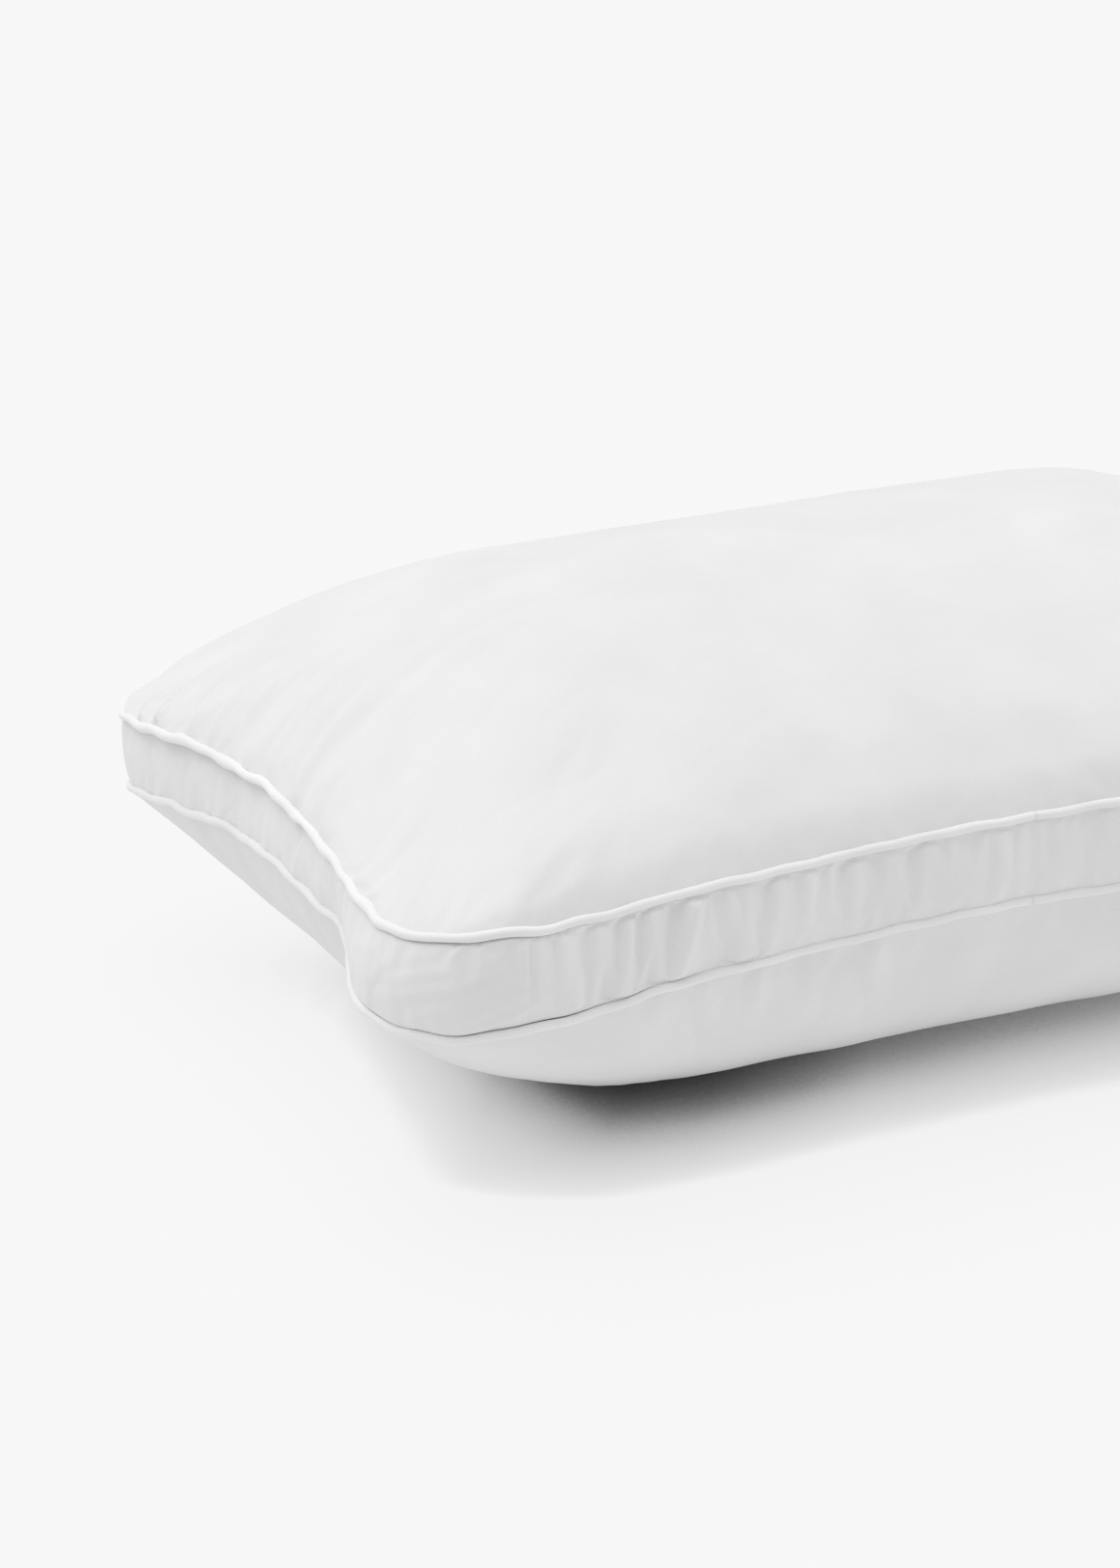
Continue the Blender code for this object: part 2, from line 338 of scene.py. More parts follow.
@dataclass(frozen=True)
class WovenCloth:
    """Plain-woven cotton percale: matt, fine, with a trace of crosswise threads.

    Percale is a tight plain weave of about 0.25 mm a thread, soft-finished by calendering. It
    scatters light evenly with a low sheen at grazing angles. The threads are drawn coarser than
    that, because the real ones are too fine to show from a few metres.
    """

    name: str
    colour: str
    shade: str
    thread_mm: float = 1.0
    relief_mm: float = 0.035
    slub_mm: float = 2.2
    slub_stretch: float = 0.04
    crinkle_mm: float = 0.10
    crinkle_size_mm: float = 9.0
    blotches_per_m: float = 14.0
    slub_tint: float = 0.10
    # How much darker the threads that pass under are coloured: painted shade in the weave.
    thread_tint: float = 0.06
    slub_relief: float = 0.8
    roughness: float = 0.86
    specular: float = 0.25
    sheen: float = 0.12
    bias: bool = False

    def build(self) -> bpy.types.Material:
        """Builds the node material.

        Returns:
            The material, which reads the piece's own weave attribute.
        """
        cloth = FinishTree(self.name, {"Roughness": self.roughness,
                                       "Specular IOR Level": self.specular,
                                       "Sheen Weight": self.sheen, "Sheen Roughness": 0.5})
        place = cloth.node("ShaderNodeAttribute", {"attribute_name": WEAVE}).outputs["Vector"]
        turned = cloth.node("ShaderNodeMapping", {"vector_type": "POINT"},
                            {"Rotation": (0, 0, math.radians(45) if self.bias else 0)},
                            {"Vector": place}).outputs[0]
        checker = self.over_and_under(cloth, turned)
        slub = self.slubs(cloth, turned)
        blotch = cloth.node("ShaderNodeTexNoise", None,
                            {"Scale": self.blotches_per_m, "Detail": 3.0, "Roughness": 0.5},
                            {"Vector": place})
        crinkle = cloth.node("ShaderNodeTexNoise", None,
                             {"Scale": 1000 / self.crinkle_size_mm, "Detail": 3.0,
                              "Roughness": 0.55, "Distortion": 0.6}, {"Vector": place})
        tint = cloth.node("ShaderNodeMath", {"operation": "MULTIPLY_ADD"},
                          {1: self.slub_tint, 2: -self.slub_tint / 2}, {0: slub})
        tint = cloth.node("ShaderNodeMath", {"operation": "ADD"},
                          links={0: tint.outputs[0], 1: blotch.outputs["Fac"]})
        # Threads that pass under are coloured darker than those over them, a painted shade in the
        # weave, added to the slub and blotch tints.
        weave_tone_and_shade = cloth.node("ShaderNodeMath", {"operation": "MULTIPLY_ADD"},
                           {1: self.thread_tint}, {0: checker, 2: tint.outputs[0]})
        share = cloth.node("ShaderNodeMapRange", {"clamp": True},
                           {"From Min": 0.2, "From Max": 0.8, "To Min": 0.0, "To Max": 1.0},
                           {"Value": weave_tone_and_shade.outputs[0]})
        ramp = cloth.node("ShaderNodeValToRGB", links={0: share.outputs[0]},
                          stops=((0.0, linear(self.shade)), (1.0, linear(self.colour))))
        threads = cloth.node("ShaderNodeMath", {"operation": "MULTIPLY_ADD"},
                             {1: self.slub_relief}, {0: slub, 2: checker})
        fine = cloth.node("ShaderNodeBump", None,
                          {"Strength": 0.7, "Distance": self.relief_mm * MM},
                          {"Height": threads.outputs[0]})
        coarse = cloth.node("ShaderNodeBump", None,
                            {"Strength": 1.0, "Distance": self.crinkle_mm * MM},
                            {"Height": crinkle.outputs["Fac"], "Normal": fine.outputs[0]})
        return cloth.close({"Base Color": ramp.outputs["Color"], "Normal": coarse.outputs[0]})

    def over_and_under(self, cloth: FinishTree,
                       place: bpy.types.NodeSocket) -> bpy.types.NodeSocket:
        """Args:
            cloth: the material in the making.
            place: the place on the flat cloth.

        Returns:
            The output that runs from -1, under, to 1, over.
        """
        split = cloth.node("ShaderNodeSeparateXYZ", links={0: place})
        turn = math.pi / (self.thread_mm * MM)
        waves = []
        for axis in (0, 1):
            scaled = cloth.node("ShaderNodeMath", {"operation": "MULTIPLY"}, {1: turn},
                                {0: split.outputs[axis]})
            waves.append(cloth.node("ShaderNodeMath", {"operation": "SINE"},
                                    links={0: scaled.outputs[0]}).outputs[0])
        return cloth.node("ShaderNodeMath", {"operation": "MULTIPLY"},
                          links={0: waves[0], 1: waves[1]}).outputs[0]

    def slubs(self, cloth: FinishTree, place: bpy.types.NodeSocket) -> bpy.types.NodeSocket:
        """Draws the thick and thin stretches of the threads, both ways of the cloth.

        Args:
            cloth: the material in the making.
            place: the place on the flat cloth.

        Returns:
            The output that adds up both ways, about 0 to 2.
        """
        drawn = []
        for stretch in ((1, self.slub_stretch, 1), (self.slub_stretch, 1, 1)):
            pulled = cloth.node("ShaderNodeMapping", {"vector_type": "POINT"},
                                {"Scale": stretch}, {"Vector": place})
            drawn.append(cloth.node("ShaderNodeTexNoise", None,
                                    {"Scale": 1 / (self.slub_mm * MM), "Detail": 2.0,
                                     "Roughness": 0.6}, {"Vector": pulled.outputs[0]}))
        return cloth.node("ShaderNodeMath", {"operation": "ADD"},
                          links={0: drawn[0].outputs["Fac"],
                                 1: drawn[1].outputs["Fac"]}).outputs[0]


@dataclass(frozen=True)
class TwistedYarn:
    """Cotton yarn or cord: plied strands that show as slanting ridges with a soft nap."""

    name: str
    colour: str
    shade: str
    ply_mm: float
    relief_mm: float = 0.1
    nap_per_m: float = 900.0
    roughness: float = 0.8
    specular: float = 0.3
    sheen: float = 0.2

    def build(self) -> bpy.types.Material:
        """Builds the node material.

        Returns:
            The material, which reads Object coordinates.
        """
        yarn = FinishTree(self.name, {"Roughness": self.roughness,
                                      "Specular IOR Level": self.specular,
                                      "Sheen Weight": self.sheen})
        place = yarn.node("ShaderNodeTexCoord").outputs["Object"]
        # Diagonal bands turn 10 radians for each unit along an axis, so with this scale the
        # ridges lie about 2.3 plies apart: coarser than real, so that they show.
        ridges = yarn.node("ShaderNodeTexWave", {"bands_direction": "DIAGONAL"},
                           {"Scale": 1 / (self.ply_mm * MM) / 20 * math.pi, "Distortion": 1.5,
                            "Detail": 2.0}, {"Vector": place})
        nap = yarn.node("ShaderNodeTexNoise", None, {"Scale": self.nap_per_m, "Detail": 3.0},
                        {"Vector": place})
        both = yarn.node("ShaderNodeMath", {"operation": "MULTIPLY"},
                         links={0: ridges.outputs["Fac"], 1: nap.outputs["Fac"]}).outputs[0]
        # The ridges, high in the relief, take the colour and the grooves between them the shade:
        # painted shade in the grooves, with random tone from the nap.
        ramp = yarn.node("ShaderNodeValToRGB", links={0: both},
                         stops=((0.0, linear(self.shade)), (0.7, linear(self.colour))))
        relief = yarn.node("ShaderNodeBump", None,
                           {"Strength": 0.6, "Distance": self.relief_mm * MM}, {"Height": both})
        return yarn.close({"Base Color": ramp.outputs["Color"], "Normal": relief.outputs[0]})


@dataclass(frozen=True)
class SpunFibre:
    """Siliconised hollow polyester fibre: a white, slightly glossy, matted cloud."""

    name: str
    colour: str
    shade: str
    strands_per_m: float = 160.0
    relief_mm: float = 1.5
    roughness: float = 0.7
    sheen: float = 0.4

    def build(self) -> bpy.types.Material:
        """Builds the node material.

        Returns:
            The material, which reads Object coordinates.
        """
        fibre = FinishTree(self.name, {"Roughness": self.roughness, "Sheen Weight": self.sheen})
        place = fibre.node("ShaderNodeTexCoord").outputs["Object"]
        strands = fibre.node("ShaderNodeTexNoise", None,
                             {"Scale": self.strands_per_m, "Detail": 8.0, "Roughness": 0.7,
                              "Distortion": 2.5}, {"Vector": place}).outputs["Fac"]
        # The same noise makes the colour and the relief, so the hollows between strands are
        # coloured darker: painted shade, with random tone.
        ramp = fibre.node("ShaderNodeValToRGB", links={0: strands},
                          stops=((0.3, linear(self.shade)), (0.7, linear(self.colour))))
        relief = fibre.node("ShaderNodeBump", None,
                            {"Strength": 1.0, "Distance": self.relief_mm * MM},
                            {"Height": strands})
        return fibre.close({"Base Color": ramp.outputs["Color"], "Normal": relief.outputs[0]})


@dataclass(frozen=True)
class SweepPaper:
    """Matt white background paper that glows evenly, with a painted contact shadow in its glow.

    The glow is even, so the paper stays white away from the pillow. Ambient occlusion darkens
    the glow wherever the pillow stands within reach: a painted shadow, not one that the lamps
    cast. The reach is how far the painted shadow spreads, in metres. The lean tilts the occlusion
    as if most of the light came from that way, so that the painted shadow gathers on the other
    sides. The shadow ramp pairs an openness with the share of the glow that is left there. The
    lift pairs places on the span, in metres along the way, with openness added: painted
    lightening of the shadow round the pillow's two ends.
    """

    name: str = "white sweep paper"
    colour: str = "606060"
    glow_colour: str = "FFFFFF"
    glow: float = 0.80
    reach: float = 0.062
    rays: int = 16
    # The way that the occlusion leans, which moves the painted shadow.
    lean: tuple[float, float, float] = (-0.62, 0.36, 0.70)
    # Openness to share of glow: how deep the painted shadow is.
    greys: tuple[tuple[float, float], ...] = (
        (0.26, 0.0), (0.37, 0.12), (0.44, 0.42), (0.60, 0.66), (0.93, 0.88), (1.0, 1.0))
    way: tuple[float, float, float] = (1.0, -0.6, 0.0)
    span: tuple[float, float] = (-0.42, 0.25)
    # Openness added by place along the span: painted lightening of the shadow.
    lift: tuple[tuple[float, float], ...] = (
        (0.0, 0.0), (0.17, 0.25), (0.33, 0.0), (0.45, 0.0), (0.67, 0.16), (1.0, 0.22))

    def build(self) -> bpy.types.Material:
        """Builds the node material.

        Returns:
            The material, which reads Object coordinates and how open each place is.
        """
        paper = FinishTree(self.name, {"Roughness": 1.0, "Specular IOR Level": 0.0,
                                       "Base Color": linear(self.colour),
                                       "Emission Strength": self.glow})
        lean = paper.node("ShaderNodeCombineXYZ", None, dict(enumerate(self.lean)))
        # Ambient occlusion near the pillow darkens the glow: the painted contact shadow.
        painted_shadow_occlusion = paper.node("ShaderNodeAmbientOcclusion", {"samples": self.rays},
                              {"Distance": self.reach}, {"Normal": lean.outputs[0]})
        place = paper.node("ShaderNodeTexCoord").outputs["Object"]
        across = paper.node("ShaderNodeVectorMath", {"operation": "DOT_PRODUCT"},
                            {1: self.way}, {0: place})
        along = paper.node("ShaderNodeMapRange", None, {1: self.span[0], 2: self.span[1]},
                           {0: across.outputs["Value"]})
        # Painted lightening of that shadow by place, lighter round the pillow's two ends.
        painted_shadow_lightening = paper.node("ShaderNodeValToRGB", links={0: along.outputs[0]},
                           stops=self.shares_of_glow(self.lift))
        total = paper.node("ShaderNodeMath", {"operation": "ADD"},
                           links={0: painted_shadow_occlusion.outputs["AO"], 1: painted_shadow_lightening.outputs["Color"]})
        # The glow that is left after the painted shadow, used as the emission colour.
        light = paper.node("ShaderNodeValToRGB", links={0: total.outputs[0]},
                           stops=self.shares_of_glow(self.greys))
        return paper.close({"Emission Color": light.outputs["Color"]})

    def shares_of_glow(self, pairs: Sequence[tuple[float, float]]) -> list[tuple]:
        """Turns pairs of a place and a share into a ramp's stops in the glow's colour."""
        red, green, blue, _ = linear(self.glow_colour)
        return [(place, (red * share, green * share, blue * share, 1)) for place, share in pairs]


# ------------------------------------------------------------------------- seams and form


class ClosedCurve:
    """A smooth closed curve through its own points, measured by length in plan."""

    def __init__(self, points: np.ndarray):
        """Solves the periodic cubic spline through the points.

        Args:
            points: one row of XYZ for each point, in order around the loop.
        """
        steps = np.linalg.norm(np.roll(points, -1, 0)[:, :2] - points[:, :2], axis=1)
        count = len(points)
        system = np.zeros((count, count))
        right = np.zeros((count, 3))
        for i in range(count):
            before, after = (i - 1) % count, (i + 1) % count
            system[i, before] = steps[before]
            system[i, i] = 2 * (steps[before] + steps[i])
            system[i, after] = steps[i]
            right[i] = 6 * ((points[after] - points[i]) / steps[i]
                            - (points[i] - points[before]) / steps[before])
        self.points = points
        self.steps = steps
        self.bend = np.linalg.solve(system, right)
        self.starts = np.concatenate([[0], np.cumsum(steps)])
        self.length = float(self.starts[-1])

    def __call__(self, s: np.ndarray) -> np.ndarray:
        """Reads the curve.

        Args:
            s: lengths along the loop.

        Returns:
            One row of XYZ for each length.
        """
        s = np.mod(s, self.length)
        i = np.clip(np.searchsorted(self.starts, s, side="right") - 1, 0, len(self.points) - 1)
        after = (i + 1) % len(self.points)
        h = self.steps[i][:, None]
        b = (s - self.starts[i])[:, None] / h
        a = 1 - b
        return (a * self.points[i] + b * self.points[after]
                + ((a ** 3 - a) * self.bend[i] + (b ** 3 - b) * self.bend[after]) * h * h / 6)


@dataclass(frozen=True)
class Spot:
    """A place beside a seam, in plan, and how far its effect reaches."""

    place: tuple[float, float]
    span: float

    def share(self, plan: np.ndarray) -> np.ndarray:
        """How much of the effect each place in plan gets, 1 in the middle."""
        return hump(np.hypot(plan[:, 0] - self.place[0], plan[:, 1] - self.place[1]), self.span)


@dataclass(frozen=True)
class Wave(Spot):
    """One wander of a seam: how far out and up it goes."""

    out: float
    up: float


@dataclass(frozen=True)
class Lump(Spot):
    """A thick place in the piping, by the share that it adds."""

    growth: float


@dataclass
class SeamLine:
    """A piped seam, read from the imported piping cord, with the wander that sewing gives it.

    The seam line is the stitched edge. The cord lies a cord_reach outside it.
    """

    side: Side
    waves: tuple[Wave, ...]
    cord_reach: float = 0.00277
    wander: float = 0.45 * MM
    end_wander: float = 0.7 * MM
    left_end: tuple[float, float] = (0.27, 0.33)
    station_size: float = 4 * MM
    curve: ClosedCurve = field(init=False)
    length: float = field(init=False)

    def __post_init__(self) -> None:
        """Reads the cord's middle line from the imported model."""
        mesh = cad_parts[f"{self.side.label}_piping_cord"].data
        points = np.unique(np.round(read_points(mesh), 6), axis=0)
        middles = []
        waiting = np.ones(len(points), bool)
        while waiting.any():
            start = points[np.flatnonzero(waiting)[0]]
            near = waiting & (np.linalg.norm(points - start, axis=1) < self.station_size)
            middles.append(points[near].mean(0))
            waiting &= ~near
        middles = np.array(middles)
        angle = np.arctan2(middles[:, 0], -middles[:, 1]) % (2 * math.pi)
        self.curve = ClosedCurve(middles[np.argsort(angle)])
        self.length = self.curve.length
        self.noise_out = Grain(11 + self.side.value, self.length, 0.20, 0.030)
        self.noise_up = Grain(21 + self.side.value, self.length, 0.18, 0.028)

    def outward(self, s: np.ndarray) -> np.ndarray:
        """Finds the level direction away from the pillow.

        Args:
            s: lengths along the seam.

        Returns:
            One unit vector for each length.
        """
        reach = 2 * MM
        along = self.curve(s + reach) - self.curve(s - reach)
        out = np.stack([along[:, 1], -along[:, 0], np.zeros(len(s))], 1)
        return out / np.linalg.norm(out, axis=1)[:, None]

    def plain(self, s: np.ndarray) -> np.ndarray:
        """The smooth seam line, before it wanders."""
        return self.curve(s) - self.outward(s) * self.cord_reach

    def on_left_end(self, plan: np.ndarray) -> np.ndarray:
        """How far each place is onto the pillow's left end, from 0 to 1."""
        return smooth(-plan[:, 0], *self.left_end)

    def shift(self, s: np.ndarray) -> np.ndarray:
        """Finds how far the seam wanders.

        Args:
            s: lengths along the seam.

        Returns:
            One vector for each length.
        """
        plan = self.plain(s)
        size = self.wander + (self.end_wander - self.wander) * self.on_left_end(plan)
        out = self.noise_out(s) * size
        up = self.noise_up(s) * size
        for wave in self.waves:
            share = wave.share(plan)
            out = out + wave.out * share
            up = up + wave.up * share
        return self.outward(s) * out[:, None] + UP * up[:, None]

    def line(self, s: np.ndarray) -> np.ndarray:
        """The seam line as sewn."""
        return self.plain(s) + self.shift(s)

    def cord_line(self, s: np.ndarray) -> np.ndarray:
        """The middle of the piping cord as sewn."""
        return self.curve(s) + self.shift(s)

    def nearest(self, place: tuple[float, float]) -> float:
        """Finds where the seam is nearest to a place.

        Args:
            place: the place in plan.

        Returns:
            The length along the seam.
        """
        s = np.linspace(0, self.length, 4000, endpoint=False)
        gap = np.linalg.norm(self.plain(s)[:, :2] - np.array(place), axis=1)
        return float(s[np.argmin(gap)])

    def past(self, place: tuple[float, float], s: np.ndarray) -> np.ndarray:
        """How far each length is past a place, the short way round, less than 0 before it."""
        return (s - self.nearest(place) + self.length / 2) % self.length - self.length / 2


@dataclass
class PillowForm:
    """The smooth outer form of the stuffed casing, hung between its two seams."""

    seams: dict[Side, SeamLine]
    spine_inset: float = 0.203
    seam_roll: float = 0.0045
    roll_span: float = 0.0065
    corner_flatness: float = 0.8
    side_roll: dict = field(default_factory=lambda: {Side.TOP: 0.009, Side.BOTTOM: 0.0})
    shoulder: float = 0.0020
    tuck: float = 0.0021
    fullness: dict = field(default_factory=lambda: {Side.TOP: 1.90, Side.BOTTOM: 1.85})
    side_swell: dict = field(default_factory=lambda: {Side.TOP: 0.83, Side.BOTTOM: 0.70})
    corner_swell: dict = field(default_factory=lambda: {Side.TOP: 1.30, Side.BOTTOM: 1.38})
    floor_press: float = 0.012
    end_power: int = 4
    side_power: int = 2
    straight_power: int = 6
    profile_points: int = 2000

    def __post_init__(self) -> None:
        """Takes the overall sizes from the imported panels."""
        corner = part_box("top_panel")[1]
        self.crown = corner.z
        self.half_length = corner.x
        self.half_depth = corner.y

    def corner_share(self, plan: np.ndarray) -> np.ndarray:
        """Finds how much of a corner each seam place is.

        Args:
            plan: the places.

        Returns:
            A share for each, from 0 on the sides to 1 on a corner.
        """
        is_end = np.minimum(np.abs(plan[:, 0]) / self.half_length, 1) ** self.end_power
        is_side = np.minimum(np.abs(plan[:, 1]) / self.half_depth, 1) ** self.side_power
        corner = is_end * is_side
        return corner / (corner + is_end * (1 - is_side) + is_side * (1 - is_end))

    def rows(self, side: Side, s: np.ndarray, shares: np.ndarray) -> np.ndarray:
        """Points of a panel in rows that run around it.

        Args:
            side: which panel.
            s: lengths along the seam.
            shares: how far out each row lies, from 0 on the spine to 1 at the seam.

        Returns:
            An array of rows by stations by XYZ.
        """
        seam = self.seams[side]
        edge = seam.line(s)
        fold = edge + seam.outward(s) * self.tuck
        spine_end = self.half_length - self.spine_inset
        spine = np.stack([np.clip(edge[:, 0], -spine_end, spine_end), np.zeros(len(s))], 1)
        corner = self.corner_share(edge)
        swell = self.side_swell[side] + (self.corner_swell[side] - self.side_swell[side]) * corner
        target = self.crown if side is Side.TOP else -self.floor_press
        reach = np.linalg.norm(fold[:, :2] - spine, axis=1)
        straight = np.minimum(np.abs(edge[:, 1]) / self.half_depth, 1) ** self.straight_power
        turn = (self.seam_roll * (1 - self.corner_flatness * corner)
                + self.side_roll[side] * (straight * (1 - corner)))
        rise = np.abs(target - edge[:, 2]) - self.shoulder - turn
        made = np.empty((len(shares), len(s), 3))
        for row, share in enumerate(shares):
            roll = turn * np.tanh((1 - share) * reach / self.roll_span)
            climb = self.shoulder + roll + rise * (1 - share ** self.fullness[side]) ** swell
            made[row, :, :2] = spine + (fold[:, :2] - spine) * share
            made[row, :, 2] = np.maximum(edge[:, 2] + side.value * climb, 0)
        return made

    def shares_by_arc(self, side: Side, arcs: np.ndarray) -> np.ndarray:
        """Finds the rows that lie at given lengths up the cloth.

        Args:
            side: which panel.
            arcs: lengths up the cloth from the seam.

        Returns:
            The share of each row, as rows() takes them.
        """
        front = np.array([self.seams[side].nearest((0.0, -self.half_depth))])
        shares = np.linspace(1, 0, self.profile_points)
        profile = self.rows(side, front, shares)[:, 0]
        length = np.concatenate([[0], np.cumsum(np.linalg.norm(np.diff(profile, axis=0), axis=1))])
        return np.interp(arcs, length, shares)


# ---------------------------------------------------------------------------- cloth pieces


@dataclass
class ClothSettling:
    """A short cloth simulation that lets a sewn sheet settle over its fill."""

    frames: int = 14
    quality: int = 6
    pressure: float = 1.5
    tension: float = 20.0
    bending: float = 0.1
    spare: float = 0.02
    mass: float = 0.3
    cap: float = 0.004

    def settle(self, piece: bpy.types.Object, held: np.ndarray, spare: np.ndarray) -> None:
        """Runs the simulation and writes the result into the mesh.

        Args:
            piece: the sheet, a mesh object.
            held: for each vertex, 1 where the seam holds it.
            spare: for each vertex, 0 to 1, how much of the spare cloth is gathered there.
        """
        start = read_points(piece.data)
        self.set_up(piece, held, spare)
        scene = bpy.context.scene
        for number in range(1, self.frames + 1):
            scene.frame_set(number)
        settled = piece.evaluated_get(bpy.context.evaluated_depsgraph_get())
        moved = read_points(settled.to_mesh()) - start
        settled.to_mesh_clear()
        piece.modifiers.clear()
        piece.vertex_groups.clear()
        scene.frame_set(1)
        size = np.linalg.norm(moved, axis=1)
        LOG.info("%s settled by %.1f mm at most", piece.name, size.max() / MM)
        limit = self.cap * np.tanh(size / self.cap) / np.maximum(size, 1e-9)
        write_points(piece.data, start + moved * limit[:, None])

    def set_up(self, piece: bpy.types.Object, held: np.ndarray, spare: np.ndarray) -> None:
        """Gives the sheet its Cloth modifier.

        Args:
            piece: the sheet.
            held: for each vertex, 1 where the seam holds it.
            spare: for each vertex, its share of the spare cloth.
        """
        grips = piece.vertex_groups.new(name="held")
        flats = piece.vertex_groups.new(name="cut to size")
        for index in np.flatnonzero(held > 0):
            grips.add([int(index)], float(held[index]), "REPLACE")
        for index in np.flatnonzero(spare < 0.99):
            flats.add([int(index)], float(1 - spare[index]), "REPLACE")
        cloth = piece.modifiers.new("settling", "CLOTH")
        rule = cloth.settings
        rule.quality = self.quality
        rule.mass = self.mass
        rule.tension_stiffness = self.tension
        rule.compression_stiffness = self.tension
        rule.shear_stiffness = self.tension / 2
        rule.bending_stiffness = self.bending
        rule.effector_weights.gravity = 0
        rule.use_pressure = True
        rule.uniform_pressure_force = self.pressure
        rule.vertex_group_mass = grips.name
        rule.pin_stiffness = 1.0
        rule.vertex_group_shrink = flats.name
        rule.shrink_min = -self.spare
        rule.shrink_max = 0.0
        cloth.collision_settings.use_collision = False


@dataclass(frozen=True)
class Fold:
    """A pucker that runs away from a seam: a ridge with a soft hollow beside it."""

    place: tuple[float, float]
    height: float
    width: float
    reach: float
    slant: float
    crease: float


def folds_in_mm(*rows: tuple[float, ...]) -> tuple[Fold, ...]:
    """Makes folds from rows of millimetres.

    Args:
        rows: each fold's x, y, height, width, reach, slant and, if it is creased, the depth of
            its crease. The slant is a plain share: sideways for each step up the cloth.

    Returns:
        The folds.
    """
    return tuple(Fold((x * MM, y * MM), height * MM, width * MM, reach * MM, slant,
                      sum(crease) * MM)
                 for x, y, height, width, reach, slant, *crease in rows)


@dataclass
class SeamFolds:
    """The folds along one seam, read over rows and stations of the cloth that is sewn to it."""

    seam: SeamLine
    folds: Sequence[Fold]
    hollow: float = 0.55
    hollow_place: float = 1.7
    crease_place: float = 1.2
    sharpness: float = 1.1 * MM
    gather_widths: float = 4.0

    def across(self, fold: Fold, s: np.ndarray, rise: np.ndarray) -> np.ndarray:
        """How far each row and station is to the side of a fold's middle."""
        return self.seam.past(fold.place, s)[None, :] - fold.slant * rise[:, None]

    def lift(self, s: np.ndarray, rise: np.ndarray) -> np.ndarray:
        """Adds up how far the folds stand out.

        Args:
            s: lengths along the seam, one for each station.
            rise: lengths up the cloth from the seam, one for each row.

        Returns:
            The height, rows by stations.
        """
        total = np.zeros((len(rise), len(s)))
        for fold in self.folds:
            across = self.across(fold, s, rise) / fold.width
            bell = hump(across, 1) - self.hollow * hump(across + self.hollow_place, 1)
            total += fold.height * bell * hump(rise, fold.reach)[:, None]
        return total

    def valleys(self, s: np.ndarray, rise: np.ndarray) -> np.ndarray:
        """Adds up the sharp valleys beside the folds.

        Args:
            s: lengths along the seam, one for each station.
            rise: lengths up the cloth from the seam, one for each row.

        Returns:
            The depth, rows by stations.
        """
        total = np.zeros((len(rise), len(s)))
        for fold in self.folds:
            gap = np.abs(self.across(fold, s, rise) + self.crease_place * fold.width)
            valley = np.exp(-gap / self.sharpness) - 0.5 * np.exp(-gap / (3 * self.sharpness))
            total += fold.crease * valley * hump(rise, fold.reach)[:, None]
        return total

    def spare(self, s: np.ndarray, base: float) -> np.ndarray:
        """Shares out the spare cloth that the sewing left, most of it where the folds are.

        Args:
            s: lengths along the seam.
            base: the share of spare cloth between the folds.

        Returns:
            A share from 0 to 1 for each station.
        """
        total = np.full(len(s), base)
        for fold in self.folds:
            near = hump(self.seam.past(fold.place, s), self.gather_widths * fold.width)
            total = np.maximum(total, near)
        return np.minimum(total, 1)


